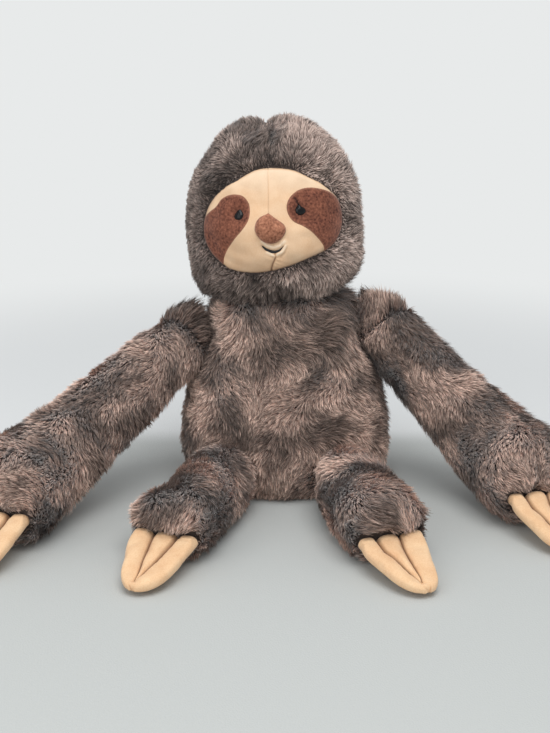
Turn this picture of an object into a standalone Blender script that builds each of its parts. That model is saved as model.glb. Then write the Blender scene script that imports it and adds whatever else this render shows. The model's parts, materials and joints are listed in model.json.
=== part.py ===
"""Plush sloth, seated, with long arms and four claw mitts.

Metres, +Z up, front towards -Y. The origin is the middle of the seat, on the surface it sits on.
The sloth's own left is +X. Covers are sewn panels round loose filling, and each limb rolls on a ball
of filling in its rounded root, so that it can swing at its seam.
"""

import math

import bmesh
import bpy
from mathutils import Matrix, Vector
from mathutils.bvhtree import BVHTree

for old in list(bpy.data.objects):
    bpy.data.objects.remove(old, do_unlink=True)

# Cloth and clearances
CLOTH = 0.0025              # plush backing with its pile pressed flat
GAP = 0.0004                # between two pieces that touch
OVERRUN = 0.01              # how far a cutter reaches past what it cuts
FLAT_CUT = 0.0005           # depth to which a soft form is cut flat where it rests

# Body
BODY_WIDTH = 0.196
BODY_DEPTH = 0.156
BODY_HEIGHT = 0.186         # seat to neck opening
NECK_BALL_RADIUS = 0.066    # the head turns and nods on this ball
NECK_BALL_SINK = 0.046      # its centre lies this far below the neck opening
NECK_WAD_RADIUS = 0.038
POUCH_RADIUS = 0.055
POUCH_HEIGHT = 0.030

# Head
HEAD_WIDTH = 0.157
HEAD_HEIGHT = 0.160
HEAD_FRONT_DEPTH = 0.072    # centre to brow
HEAD_BACK_DEPTH = 0.070
HEAD_BASE_RISE = 0.046      # neck ball centre to the lowest point of the head
HEAD_NOTCH = 0.006          # dip of the centre seam on top of the head
HEAD_TILT = math.radians(5)  # the head leans towards the sloth's right
MUZZLE_RISE = 0.014         # how far the muzzle swells in front of the brow
MUZZLE_SPREAD = 0.040
NOTCH_SPREAD = 0.014
FACE_SEAM_DEPTH = 0.012     # the face cloth's seam stays in front of this
MUZZLE_HEIGHT = 0.098       # muzzle middle above the neck ball centre
FACE_WIDTH = 0.119
FACE_HEIGHT = 0.086
FACE_MIDDLE_HEIGHT = 0.124  # above the neck ball centre
PATCH_THICKNESS = 0.0012
EYE_SPACING = 0.053
EYE_HEIGHT = 0.131          # above the neck ball centre
EYE_RADIUS = 0.0050
EYE_DOME = 0.0030
SHANK_RADIUS = 0.0016
SHANK_LENGTH = 0.0090
WASHER_RADIUS = 0.0062
WASHER_THICKNESS = 0.0014
WASHER_SET_BACK = 0.0014    # room behind the face cloth, which curves
NOSE_WIDTH = 0.0265
NOSE_HEIGHT = 0.0260
NOSE_MIDDLE_HEIGHT = 0.119  # above the neck ball centre
NOSE_SWELL = 0.0085
NOSE_EDGE = 0.0014
MOUTH_WIDTH = 0.0185
MOUTH_SAG = 0.0050
MOUTH_CORNER_HEIGHT = 0.1035  # above the neck ball centre
THREAD_RADIUS = 0.0009

# Arms; a splay is an angle forward from straight sideways
SHOULDER_HEIGHT = 0.143
SHOULDER_LEAN = 0.005       # the left shoulder sits this much higher, the right this much lower
SHOULDER_FORWARD = 0.012
SHOULDER_STANDOFF = 0.027   # ball centre outside the body's flank
ARM_ROOT_RADIUS = 0.029
ARM_REACH_LEFT = 0.106      # level distance from shoulder to wrist bend
ARM_REACH_RIGHT = 0.138
ARM_SPLAY_LEFT = math.radians(14)
ARM_SPLAY_RIGHT = math.radians(30)
HAND_WIDTH = 0.080
HAND_HEIGHT = 0.084
HAND_LENGTH = 0.070
HAND_SPLAY_LEFT = math.radians(76)
HAND_SPLAY_RIGHT = math.radians(76)
HAND_CLAW_RISE = 0.029      # height of the claws' hinge line

# Legs
HIP_SPACING = 0.114
HIP_FORWARD = 0.086
LEG_ROOT_RADIUS = 0.029
THIGH_LENGTH = 0.050
SHIN_LENGTH = 0.050
LEG_SPLAY_LEFT = math.radians(84)
LEG_SPLAY_RIGHT = math.radians(67)
FOOT_SPLAY_LEFT = math.radians(70)
FOOT_SPLAY_RIGHT = math.radians(70)
FOOT_WIDTH = 0.068
FOOT_HEIGHT = 0.060
FOOT_CLAW_RISE = 0.021

# Claw mitts
CLAW_LENGTH = 0.060
CLAW_WIDTH = 0.058
CLAW_TIP_WIDTH = 0.024
CLAW_THICKNESS = 0.016
CLAW_TIP_THICKNESS = 0.012
CLAW_STANDOFF = 0.003       # hinge line in front of the cuff's end
CLAW_CREASE = 0.0030        # depth of the two stitched creases

# Counts
BODY_SIDES = 20
HEAD_SIDES = 20
HEAD_RINGS = 12
LIMB_SIDES = 16
CLAW_SIDES = 18
NECK_SIDES = 28
ROOT_SIDES = 16
WAD_SIDES = 12
SMALL_SIDES = 16
FACE_SIDES = 28
THREAD_SIDES = 8
MOUTH_POINTS = 9
NOSE_RINGS = 4
PATCH_RINGS = 4

# Section exponents: 2 is an ellipse, more is squarer
BODY_SQUARENESS = 2.3
HEAD_SQUARENESS = 2.2
CROWN_SQUARENESS = 2.2
LIMB_SQUARENESS = 2.2
JOWL_SQUARENESS = 3.1
FACE_SQUARENESS = 2.3

# Shares of the size named beside each table
BODY_PROFILE_SHARES = (     # of body height, body half width, body half depth
    (0.000, 0.76, 0.74), (0.030, 0.89, 0.88), (0.105, 0.975, 0.97), (0.210, 1.00, 1.00),
    (0.350, 0.985, 0.99), (0.510, 0.925, 0.95), (0.660, 0.81, 0.90), (0.790, 0.70, 0.845),
    (0.880, 0.655, 0.78), (0.935, 0.59, 0.70), (0.965, 0.53, 0.63), (1.000, 0.465, 0.555),
)
NECK_WAD_TOP_SHARES = (1.0, 0.7, 0.35)  # of its radius, rings on its round top
HEAD_WIDEST_SHARE = 0.33    # of head height
PATCH_OUTLINE_SHARES = (    # of face half width and half height, round the right eye's patch
    (0.52, 0.56), (0.38, 0.48), (0.30, 0.28), (0.33, 0.02), (0.42, -0.20), (0.53, -0.45),
    (0.62, -0.70), (0.76, -0.66), (0.88, -0.42), (0.955, -0.12), (0.945, 0.14), (0.86, 0.38),
    (0.70, 0.54),
)
NOSE_OUTLINE_SHARES = (     # of nose half width and half height
    (0.00, 1.00), (-0.30, 0.72), (-0.68, 0.42), (-0.95, 0.05), (-0.92, -0.38), (-0.62, -0.78),
    (0.00, -1.00), (0.62, -0.78), (0.92, -0.38), (0.95, 0.05), (0.68, 0.42), (0.30, 0.72),
)
ARM_SECTION_SHARES = (      # along the arm, then between root radius (0) and hand size (1)
    (0.12, 0.08), (0.27, 0.26), (0.44, 0.48), (0.62, 0.76), (0.80, 0.96), (1.00, 1.00),
)
LEG_SECTION_SHARES = (
    (0.18, 0.20), (0.42, 0.50), (0.68, 0.84), (1.00, 1.00),
)
CUFF_SECTION_SHARES = (     # along the cuff's rounded end: share of width, share of height
    (0.50, 0.96, 0.88), (0.82, 0.88, 0.66), (1.00, 0.78, 0.36),
)
CUFF_END_SHARE = 0.30       # of the hand's or foot's height: how deep its rounded end is
CLAW_SECTION_SHARES = (     # along the claw: share between root and tip size, lift of its middle
    (0.15, 0.00, 0.02), (0.38, 0.12, 0.04), (0.62, 0.42, 0.00), (0.82, 0.80, 0.00), (0.95, 1.20, 0.00),
)
CREASE_PLACE_SHARE = 0.34   # of the claw's half width
CREASE_SPREAD_SHARE = 0.10
CAP_ANGLE_SHARES = (0.30, 0.55, 0.80)  # of a quarter turn, from a limb root's pole
CLAW_ROOT_ANGLE_SHARES = (0.25, 0.60, 1.00)
CUFF_MOUTH_SHARE = 0.36     # of the hand's or foot's height, at the mouth
FACET_ROOM_SHARE = 0.965    # of a limb root's inside that its facets leave free
EYE_ANGLE_SHARES = (0.75, 0.50, 0.25)
PATCH_MIDDLE_SHARES = (0.62, 0.04)     # of face half width and half height
CURVE_STEP_SHARE = 0.02           # share of a limb's route over which its direction is read

CLOTH_BROWN = "6B5D56"
FACE_BEIGE = "EBC79C"
PATCH_BROWN = "7D4639"
NOSE_BROWN = "8A5140"
EYE_BLACK = "0B0A0A"
THREAD_BLACK = "17120F"
FILLING_WHITE = "ECEAE4"
POUCH_GREY = "B9B4AA"
WASHER_WHITE = "D9D9D4"


def material(name, colour, roughness, metallic=0.0):
    """Principled material from an sRGB hex colour."""
    made = bpy.data.materials.new(name)
    made.use_nodes = True
    shader = made.node_tree.nodes["Principled BSDF"]
    channels = [int(colour[i:i + 2], 16) / 255 for i in (0, 2, 4)]
    linear = [c / 12.92 if c <= 0.04045 else ((c + 0.055) / 1.055) ** 2.4 for c in channels]
    shader.inputs["Base Color"].default_value = (*linear, 1)
    shader.inputs["Roughness"].default_value = roughness
    shader.inputs["Metallic"].default_value = metallic
    return made


PLUSH = material("plush_cover", CLOTH_BROWN, 0.95)
FACE = material("face_velboa", FACE_BEIGE, 0.9)
CLAW = material("claw_velboa", FACE_BEIGE, 0.9)
PATCH = material("patch_velboa", PATCH_BROWN, 0.9)
NOSE = material("nose_velboa", NOSE_BROWN, 0.85)
EYE = material("eye_plastic", EYE_BLACK, 0.12)
THREAD = material("satin_thread", THREAD_BLACK, 0.5)
FILLING = material("fibre_filling", FILLING_WHITE, 1.0)
POUCH = material("pouch_cloth", POUCH_GREY, 0.9)
WASHER = material("washer_plastic", WASHER_WHITE, 0.5)


def pivot(name, place, turn=(0.0, 0.0, 0.0)):
    """Empty on a joint's centre, which carries the pieces that move with it."""
    empty = bpy.data.objects.new(name, None)
    bpy.context.collection.objects.link(empty)
    empty.location = place
    empty.rotation_euler = turn
    return empty


def add(name, bm, finish, parent, local=False):
    """Object from a bmesh, with its origin on its parent's joint centre."""
    bmesh.ops.recalc_face_normals(bm, faces=bm.faces)
    mesh = bpy.data.meshes.new(name)
    bm.to_mesh(mesh)
    bm.free()
    if not local:
        mesh.transform(Matrix.Translation(-parent.location))
    mesh.shade_smooth()
    mesh.set_sharp_from_angle(angle=math.radians(50))
    obj = bpy.data.objects.new(name, mesh)
    bpy.context.collection.objects.link(obj)
    obj.parent = parent
    if finish:
        mesh.materials.append(finish)
    return obj


def cutter(name, bm, parent, local=False):
    """Object that only cuts others."""
    obj = add(name, bm, None, parent, local)
    obj.hide_render = True
    obj.display_type = "WIRE"
    return obj


def cut(obj, tool, operation="DIFFERENCE"):
    """Boolean modifier on obj."""
    boolean = obj.modifiers.new(tool.name, "BOOLEAN")
    boolean.operation = operation
    boolean.object = tool
    boolean.solver = "EXACT"


def superellipse(angle, squareness):
    """Point of a unit superellipse; angle 0 is +second axis, a quarter turn is +first axis."""
    s, c = math.sin(angle), math.cos(angle)
    power = 2 / squareness
    return math.copysign(abs(s) ** power, s), math.copysign(abs(c) ** power, c)


def add_quad(bm, corners, split):
    """Face through four corners, some of which may coincide; split along its first diagonal."""
    a, b, c, d = corners
    pieces = ((a, b, c), (a, c, d)) if split else (corners,)
    for piece in pieces:
        kept = list(dict.fromkeys(piece))
        if len(kept) > 2:
            bm.faces.new(kept)


def closed_bmesh(rings, split=True):
    """Closed body from rings of points; a ring of one point is a pole, other end rings are capped."""
    bm = bmesh.new()
    grid = [[bm.verts.new(p) for p in ring] for ring in rings]
    for low, high in zip(grid, grid[1:]):
        count = max(len(low), len(high))
        for i in range(count):
            j = (i + 1) % count
            corners = (low[i % len(low)], low[j % len(low)], high[j % len(high)], high[i % len(high)])
            add_quad(bm, corners, split)
    for end in (grid[0], grid[-1]):
        if len(end) > 1:
            bm.faces.new(end)
    bmesh.ops.recalc_face_normals(bm, faces=bm.faces)
    return bm


def inset_rings(rings, distance):
    """The same rings moved inwards along the surface by an even distance."""
    bm = closed_bmesh(rings, split=False)
    bm.normal_update()
    moved = [v.co - v.normal * distance * v.calc_shell_factor() for v in bm.verts]
    bm.free()
    result, start = [], 0
    for ring in rings:
        result.append(moved[start:start + len(ring)])
        start += len(ring)
    return result


def panel_bmesh(rings, first, last, into):
    """Sewn panel: the columns first to last of a form, CLOTH thick, with half a GAP at its seams."""
    inner = inset_rings(rings, CLOTH)
    shift = Vector(into).normalized() * GAP / 2
    bm = bmesh.new()
    walls = []
    for layer in (rings, inner):
        grid = []
        for ring in layer:
            row = []
            for column in range(first, last + 1):
                point = Vector(ring[column % len(ring)])
                on_seam = column in (first, last) or len(ring) == 1
                row.append(bm.verts.new(point + shift if on_seam else point))
            grid.append(row)
        walls.append(grid)
    outer, inner = walls
    for r in range(len(rings) - 1):
        for c in range(last - first):
            for grid in walls:
                add_quad(bm, (grid[r][c], grid[r][c + 1], grid[r + 1][c + 1], grid[r + 1][c]), True)
        for c in (0, last - first):
            bm.faces.new((outer[r][c], outer[r + 1][c], inner[r + 1][c], inner[r][c]))
    for r in (0, len(rings) - 1):
        for c in range(last - first):
            bm.faces.new((outer[r][c], outer[r][c + 1], inner[r][c + 1], inner[r][c]))
    bmesh.ops.remove_doubles(bm, verts=bm.verts, dist=GAP / 100)
    return bm


def ball_bmesh(centre, radius, sides):
    """Ball; its facets lie a little inside its radius."""
    bm = bmesh.new()
    bmesh.ops.create_uvsphere(
        bm, u_segments=sides, v_segments=sides // 2, radius=radius, matrix=Matrix.Translation(centre))
    return bm


def socket_bmesh(centre, radius, sides):
    """Cutting ball whose facets clear a ball of the given radius by GAP."""
    return ball_bmesh(centre, (radius + GAP) / math.cos(math.pi / sides) ** 2, sides)


def cylinder_bmesh(centre, axis, radius, length, sides):
    """Closed cylinder about its centre."""
    bm = bmesh.new()
    turn = Vector(axis).to_track_quat("Z", "Y").to_matrix().to_4x4()
    bmesh.ops.create_cone(
        bm, cap_ends=True, segments=sides, radius1=radius, radius2=radius, depth=length,
        matrix=Matrix.Translation(centre) @ turn)
    return bm


def joined(parts):
    """One bmesh from several."""
    whole = bmesh.new()
    for part in parts:
        mesh = bpy.data.meshes.new("joined")
        part.to_mesh(mesh)
        part.free()
        whole.from_mesh(mesh)
        bpy.data.meshes.remove(mesh)
    return whole


def between(low, high, share):
    return low + (high - low) * share


# Places that follow from the sizes
NECK = Vector((0, 0, BODY_HEIGHT - NECK_BALL_SINK))


def body_size(share):
    """Half width and half depth of the body at a share of its height."""
    rows = BODY_PROFILE_SHARES
    for (s0, w0, d0), (s1, w1, d1) in zip(rows, rows[1:]):
        if share <= s1:
            t = (share - s0) / (s1 - s0)
            return between(w0, w1, t) * BODY_WIDTH / 2, between(d0, d1, t) * BODY_DEPTH / 2
    return rows[-1][1] * BODY_WIDTH / 2, rows[-1][2] * BODY_DEPTH / 2


def body_ring(share, height):
    half_width, half_depth = body_size(share)
    ring = []
    for i in range(BODY_SIDES):
        # Columns start at the sloth's left side seam and run round the front
        across, along = superellipse(math.tau * i / BODY_SIDES + math.pi / 2, BODY_SQUARENESS)
        ring.append(Vector((across * half_width, along * half_depth, height)))
    return ring


BODY_RINGS = [body_ring(share, share * BODY_HEIGHT) for share, _, _ in BODY_PROFILE_SHARES]


def seat_disc(outer, inner):
    """Flat seat panel inside the covers' lower edges."""
    shrink = 1 - GAP / (body_size(0)[1] - CLOTH)
    rim = [p * shrink for p in outer]
    top = [Vector((p.x * shrink, p.y * shrink, CLOTH)) for p in inner]
    return closed_bmesh([[Vector((0, 0, 0))], rim, top, [Vector((0, 0, CLOTH))]])


def dome_rings(radius, height, base):
    """Half ball flattened to a height, flat below."""
    rings = [[Vector((0, 0, base))]]
    for i in range(SMALL_SIDES // 4 + 1):
        angle = math.pi / 2 * i / (SMALL_SIDES // 4)
        if i == SMALL_SIDES // 4:
            rings.append([Vector((0, 0, base + height))])
        else:
            rings.append([
                Vector((radius * math.cos(angle) * math.cos(turn), radius * math.cos(angle) * math.sin(turn),
                        base + height * math.sin(angle)))
                for turn in (math.tau * j / SMALL_SIDES for j in range(SMALL_SIDES))])
    return rings


def neck_wad_rings():
    """Disc on the body's filling with a round top on the neck ball's surface."""
    base = BODY_HEIGHT - CLOTH
    rings = [[Vector((0, 0, base))]]
    for share in (1,) + NECK_WAD_TOP_SHARES:
        radius = NECK_WAD_RADIUS * share
        height = base if len(rings) == 1 else NECK.z + math.sqrt(NECK_BALL_RADIUS ** 2 - radius ** 2)
        rings.append([
            Vector((radius * math.cos(turn), radius * math.sin(turn), height))
            for turn in (math.tau * j / NECK_SIDES for j in range(NECK_SIDES))])
    rings.append([Vector((0, 0, NECK.z + NECK_BALL_RADIUS))])
    return rings


# Head, in its own frame: origin at the neck ball's centre, upright
def head_height(share):
    return HEAD_BASE_RISE + HEAD_HEIGHT * share


def head_scale(share):
    """Share of the head's widest size at a share of its height."""
    if share < HEAD_WIDEST_SHARE:
        down = min((HEAD_WIDEST_SHARE - share) / HEAD_WIDEST_SHARE, 1)
        return (1 - down ** JOWL_SQUARENESS) ** (1 / JOWL_SQUARENESS)
    up = min((share - HEAD_WIDEST_SHARE) / (1 - HEAD_WIDEST_SHARE), 1)
    return (1 - up ** CROWN_SQUARENESS) ** (1 / CROWN_SQUARENESS)


def muzzle(x, z):
    """How far the muzzle swells forward at a place on the face."""
    far = (x / MUZZLE_SPREAD) ** 2 + ((z - MUZZLE_HEIGHT) / MUZZLE_SPREAD) ** 2
    return MUZZLE_RISE * math.exp(-far)


def face_y(x, z):
    """Front of the head at a place seen from the front."""
    scale = head_scale((z - HEAD_BASE_RISE) / HEAD_HEIGHT)
    side = min(abs(x) / (scale * HEAD_WIDTH / 2), 1)
    level = (1 - side ** HEAD_SQUARENESS) ** (1 / HEAD_SQUARENESS)
    return -HEAD_FRONT_DEPTH * scale * level - muzzle(x, z)


def on_face(x, z, lift):
    """Point a lift in front of the face."""
    step = GAP
    slope_x = (face_y(x + step, z) - face_y(x - step, z)) / (2 * step)
    slope_z = (face_y(x, z + step) - face_y(x, z - step)) / (2 * step)
    outward = Vector((slope_x, -1, slope_z)).normalized()
    return Vector((x, face_y(x, z), z)) + outward * lift, outward


def head_ring(share):
    scale = head_scale(share)
    if scale == 0:
        dip = HEAD_NOTCH if share > HEAD_WIDEST_SHARE else 0
        return [Vector((0, 0, head_height(share) - dip))]
    ring = []
    for i in range(HEAD_SIDES):
        # Columns start at the back seam and run round the sloth's left side to the front
        across, along = superellipse(math.tau * i / HEAD_SIDES, HEAD_SQUARENESS)
        x = across * scale * HEAD_WIDTH / 2
        z = head_height(share)
        y = along * scale * HEAD_BACK_DEPTH if along > 0 else along * scale * HEAD_FRONT_DEPTH - muzzle(x, z)
        if share > HEAD_WIDEST_SHARE:
            z -= HEAD_NOTCH * (1 - scale) * math.exp(-(x / NOTCH_SPREAD) ** 2)
        ring.append(Vector((x, y, z)))
    return ring


def head_shares():
    """Heights of the rings, closer together near the poles."""
    return [(1 - math.cos(math.pi * i / (HEAD_RINGS - 1))) / 2 for i in range(HEAD_RINGS)]


def face_prism(margin):
    """Solid outline of the face cloth, from in front of the head to behind the brow."""
    front = -(HEAD_FRONT_DEPTH + MUZZLE_RISE + OVERRUN)
    rings = []
    for y in (front, -FACE_SEAM_DEPTH):
        ring = []
        for i in range(FACE_SIDES):
            across, up = superellipse(math.tau * i / FACE_SIDES, FACE_SQUARENESS)
            ring.append(Vector((across * (FACE_WIDTH / 2 + margin), y,
                                FACE_MIDDLE_HEIGHT + up * (FACE_HEIGHT / 2 + margin))))
        rings.append(ring)
    return closed_bmesh(rings)


def applied_patch(outline, centre, lift, thickness, swell=0.0, rings=3):
    """Piece that lies on the face: an outline filled by rings, flat or swelling in the middle."""
    levels = [[], []]
    for k in range(rings + 1):
        share = k / rings
        if k == 0:
            places = [centre]
        else:
            places = [centre.lerp(p, share) for p in outline]
        for side in (0, 1):
            rise = lift
            if side:
                rise += thickness + swell * math.sqrt(max(1 - share ** 2, 0))
            levels[side].append([on_face(p.x, p.y, rise)[0] for p in places])
    return closed_bmesh(levels[0] + levels[1][::-1])


def smile_path(rings):
    """Points of the mouth's thread, laid on the facets of the face."""
    form = closed_bmesh(rings)
    surface = BVHTree.FromBMesh(form)
    form.free()
    path = []
    for k in range(MOUTH_POINTS):
        across = 2 * k / (MOUTH_POINTS - 1) - 1
        x, z = across * MOUTH_WIDTH / 2, MOUTH_CORNER_HEIGHT - MOUTH_SAG * (1 - across ** 2)
        outward = on_face(x, z, 0)[1]
        place = surface.ray_cast(Vector((x, -HEAD_WIDTH, z)), Vector((0, 1, 0)))[0]
        path.append((place + outward * (THREAD_RADIUS + GAP), outward))
    return path


def thread_bmesh(path, radius):
    """Round thread along points on the face, each with the direction away from the face."""
    rings = []
    for k, (point, outward) in enumerate(path):
        ahead = path[min(k + 1, len(path) - 1)][0] - path[max(k - 1, 0)][0]
        across = ahead.normalized().cross(outward).normalized()
        rings.append([
            point + (outward * math.cos(turn) + across * math.sin(turn)) * radius
            for turn in (math.tau * j / THREAD_SIDES for j in range(THREAD_SIDES))])
    return closed_bmesh(rings)


def eye_rings():
    """Dome with its shank, along +Z from the flat of the dome."""
    profile = [(EYE_RADIUS * math.cos(a), EYE_DOME * math.sin(a))
               for a in (math.pi / 2 * s for s in EYE_ANGLE_SHARES)]
    profile += [(EYE_RADIUS, 0), (SHANK_RADIUS, 0), (SHANK_RADIUS, -SHANK_LENGTH)]
    rings = [[Vector((0, 0, EYE_DOME))]]
    for radius, height in profile:
        rings.append([
            Vector((radius * math.cos(turn), radius * math.sin(turn), height))
            for turn in (math.tau * j / SMALL_SIDES for j in range(SMALL_SIDES))])
    return rings


# Limbs, built for the sloth's left side and mirrored for its right
def level(splay):
    return Vector((math.cos(splay), -math.sin(splay), 0))


def curve_point(root, bend, end, share):
    return root.lerp(bend, share).lerp(bend.lerp(end, share), share)


def section(centre, ahead, half_width, half_height, squareness):
    """Ring across a direction, from its top round the front; cut flat at the floor."""
    across = ahead.cross(Vector((0, 0, 1))).normalized()
    up = across.cross(ahead).normalized()
    ring = []
    for i in range(LIMB_SIDES):
        a, b = superellipse(math.tau * i / LIMB_SIDES, squareness)
        p = centre + across * a * half_width + up * b * half_height
        ring.append(Vector((p.x, p.y, max(p.z, 0))))
    return ring


def limb_rings(root, bend, end, root_radius, width, height, sections, claw_rise):
    """Rings of a limb: ball-shaped root, swelling length, rounded cuff that narrows to its mouth."""
    ahead = (bend - root).normalized()
    rings = [[root - ahead * root_radius]]
    for share in CAP_ANGLE_SHARES + (1,):
        angle = share * math.pi / 2
        radius = root_radius * math.sin(angle)
        rings.append(section(root - ahead * root_radius * math.cos(angle), ahead, radius, radius, 2))
    first_section = len(rings)
    for along, size in sections:
        centre = curve_point(root, bend, end, along)
        before, after = along - CURVE_STEP_SHARE, along + CURVE_STEP_SHARE
        step = curve_point(root, bend, end, after) - curve_point(root, bend, end, before)
        rings.append(section(
            centre, step.normalized(), between(root_radius, width / 2, size),
            between(root_radius, height / 2, size), LIMB_SQUARENESS))
    ahead = (end - bend).normalized()
    for along, wide, high in CUFF_SECTION_SHARES:
        centre = end + ahead * height * CUFF_END_SHARE * along
        centre.z = between(claw_rise, end.z, (high - CUFF_MOUTH_SHARE) / (1 - CUFF_MOUTH_SHARE))
        rings.append(section(centre, ahead, width / 2 * wide, height / 2 * high, LIMB_SQUARENESS))
    return rings, first_section


def claw_rings(root, ahead):
    """Rings of a claw mitt: a round root on the hinge line, then three lobes that taper to one tip."""
    across = ahead.cross(Vector((0, 0, 1)))
    radius = CLAW_THICKNESS / 2
    stations = []
    for share in CLAW_ROOT_ANGLE_SHARES:
        angle = share * math.pi / 2
        stations.append((-radius * math.cos(angle), CLAW_WIDTH / 2, radius * math.sin(angle), root.z, 0))
    for along, size, lift in CLAW_SECTION_SHARES:
        half_width = between(CLAW_WIDTH, CLAW_TIP_WIDTH, size) / 2
        half_height = between(CLAW_THICKNESS, CLAW_TIP_THICKNESS, size) / 2
        middle = between(root.z, CLAW_TIP_THICKNESS / 2 - FLAT_CUT, along) + lift * CLAW_LENGTH
        stations.append((along * CLAW_LENGTH, half_width, half_height, middle, CLAW_CREASE))
    rings = []
    for forward, half_width, half_height, middle, crease in stations:
        ring = []
        for i in range(CLAW_SIDES):
            a, b = superellipse(math.tau * i / CLAW_SIDES, LIMB_SQUARENESS)
            off = (abs(a) - CREASE_PLACE_SHARE) / CREASE_SPREAD_SHARE
            b *= 1 - crease / half_height * math.exp(-off ** 2)
            p = root + ahead * forward + across * a * half_width
            ring.append(Vector((p.x, p.y, max(middle + b * half_height, 0))))
        rings.append(ring)
    tip = root + ahead * CLAW_LENGTH
    rings.append([Vector((tip.x, tip.y, CLAW_TIP_THICKNESS / 2 - FLAT_CUT))])
    return rings


def mirrored(rings, side):
    return [[Vector((p.x * side, p.y, p.z)) for p in ring] for ring in rings]


def rolled(point, side):
    return Vector((point.x * side, point.y, point.z))


def wad_radius(root_radius):
    """Radius of the filling ball inside a limb's faceted root."""
    return (root_radius - CLOTH) * FACET_ROOM_SHARE - GAP


def build_limb(side, side_name, limb, joint, tip_name, centre, root, bend, end, root_radius, width, height,
               sections, claw_rise, panels, seams):
    """One limb: two cover panels, filling, root wad and claw mitt, each on its own joint's centre."""
    rings, first_section = limb_rings(root, bend, end, root_radius, width, height, sections, claw_rise)
    rings = mirrored(rings, side)
    limb_pivot = pivot(f"{joint}_{side_name}_pivot", centre)

    ahead = (end - bend).normalized()
    hinge = end + ahead * (height * CUFF_END_SHARE + CLAW_STANDOFF)
    hinge.z = claw_rise
    hinge_line = rolled(ahead.cross(Vector((0, 0, 1))), side)
    claw_pivot = pivot(f"{tip_name}_{side_name}_pivot", rolled(hinge, side))
    mouth_radius = (CLAW_THICKNESS / 2 + GAP) / math.cos(math.pi / SMALL_SIDES)
    mouth = cutter(
        f"{limb}_{side_name}_mouth_cutter",
        cylinder_bmesh(rolled(hinge, side), hinge_line, mouth_radius, CLAW_WIDTH + 2 * GAP, SMALL_SIDES),
        limb_pivot)

    for (panel_name, first, last), seam in zip(panels, seams):
        cover = add(f"{limb}_{side_name}_{panel_name}", panel_bmesh(rings, first, last, rolled(seam, side)),
                    PLUSH, limb_pivot)
        cut(cover, mouth)
    wad = wad_radius(root_radius)
    add(f"{joint}_{side_name}_filling", ball_bmesh(centre, wad, WAD_SIDES), FILLING, limb_pivot)
    dish = cutter(f"{joint}_{side_name}_dish_cutter", socket_bmesh(centre, wad, WAD_SIDES), limb_pivot)
    filling = add(f"{limb}_{side_name}_filling",
                  closed_bmesh(inset_rings(rings, CLOTH + GAP)[first_section:]), FILLING, limb_pivot)
    cut(filling, dish)
    cut(filling, mouth)
    add(f"claws_{side_name}_{tip_name}", closed_bmesh(mirrored(claw_rings(hinge, ahead), side)), CLAW, claw_pivot)


def arm_route(side, side_name, reach, splay, hand_splay):
    """Route and sizes of one arm, as on the sloth's left."""
    height = SHOULDER_HEIGHT + side * SHOULDER_LEAN
    flank = body_size(height / BODY_HEIGHT)[0]
    root = Vector((flank + SHOULDER_STANDOFF, -SHOULDER_FORWARD, height))
    bend = root + level(splay) * reach
    bend.z = HAND_HEIGHT / 2 - FLAT_CUT
    across = level(splay).cross(Vector((0, 0, 1)))
    half = LIMB_SIDES // 2
    return dict(
        side=side, side_name=side_name, limb="arm", joint="shoulder", tip_name="hand", centre=rolled(root, side),
        root=root, bend=bend, end=bend + level(hand_splay) * HAND_LENGTH, root_radius=ARM_ROOT_RADIUS,
        width=HAND_WIDTH, height=HAND_HEIGHT, sections=ARM_SECTION_SHARES, claw_rise=HAND_CLAW_RISE,
        panels=(("front_panel", 0, half), ("back_panel", half, 2 * half)), seams=(across, -across))


def leg_route(side, side_name, splay, foot_splay):
    """Route and sizes of one leg, as on the sloth's left."""
    root = Vector((HIP_SPACING / 2, -HIP_FORWARD, FOOT_HEIGHT / 2 - FLAT_CUT))
    bend = root + level(splay) * THIGH_LENGTH
    quarter = LIMB_SIDES // 4
    return dict(
        side=side, side_name=side_name, limb="leg", joint="hip", tip_name="foot", centre=rolled(root, side),
        root=root, bend=bend, end=bend + level(foot_splay) * SHIN_LENGTH, root_radius=LEG_ROOT_RADIUS,
        width=FOOT_WIDTH, height=FOOT_HEIGHT, sections=LEG_SECTION_SHARES, claw_rise=FOOT_CLAW_RISE,
        panels=(("upper_panel", -quarter, quarter), ("sole_panel", quarter, 3 * quarter)),
        seams=(Vector((0, 0, 1)), Vector((0, 0, -1))))


def build_body(routes):
    """Seat, front and back covers, filling and pellet pouch, dished for the limbs' round roots."""
    body = pivot("body_pivot", (0, 0, 0))
    roots = cutter("limb_root_cutters", joined([
        socket_bmesh(route["centre"], route["root_radius"], ROOT_SIDES) for route in routes]), body)
    inner = inset_rings(BODY_RINGS, CLOTH)
    half = BODY_SIDES // 2
    covers = [
        add("body_front_panel", panel_bmesh(BODY_RINGS, 0, half, (0, -1, 0)), PLUSH, body),
        add("body_back_panel", panel_bmesh(BODY_RINGS, half, 2 * half, (0, 1, 0)), PLUSH, body),
        add("seat_panel", seat_disc(BODY_RINGS[0], inner[0]), PLUSH, body)]
    filling = add("body_filling", closed_bmesh(inset_rings([[Vector((0, 0, 0))]] + BODY_RINGS, CLOTH + GAP)),
                  FILLING, body)
    for piece in covers + [filling]:
        cut(piece, roots)
    base = CLOTH + GAP
    add("pellet_pouch", closed_bmesh(dome_rings(POUCH_RADIUS, POUCH_HEIGHT, base)), POUCH, body)
    dome = dome_rings(POUCH_RADIUS + 2 * GAP, POUCH_HEIGHT + 2 * GAP, base)[1:]
    foot = [[Vector((0, 0, 0))], [Vector((p.x, p.y, 0)) for p in dome[0]]]
    cut(filling, cutter("pouch_cutter", closed_bmesh(foot + dome), body))


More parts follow.
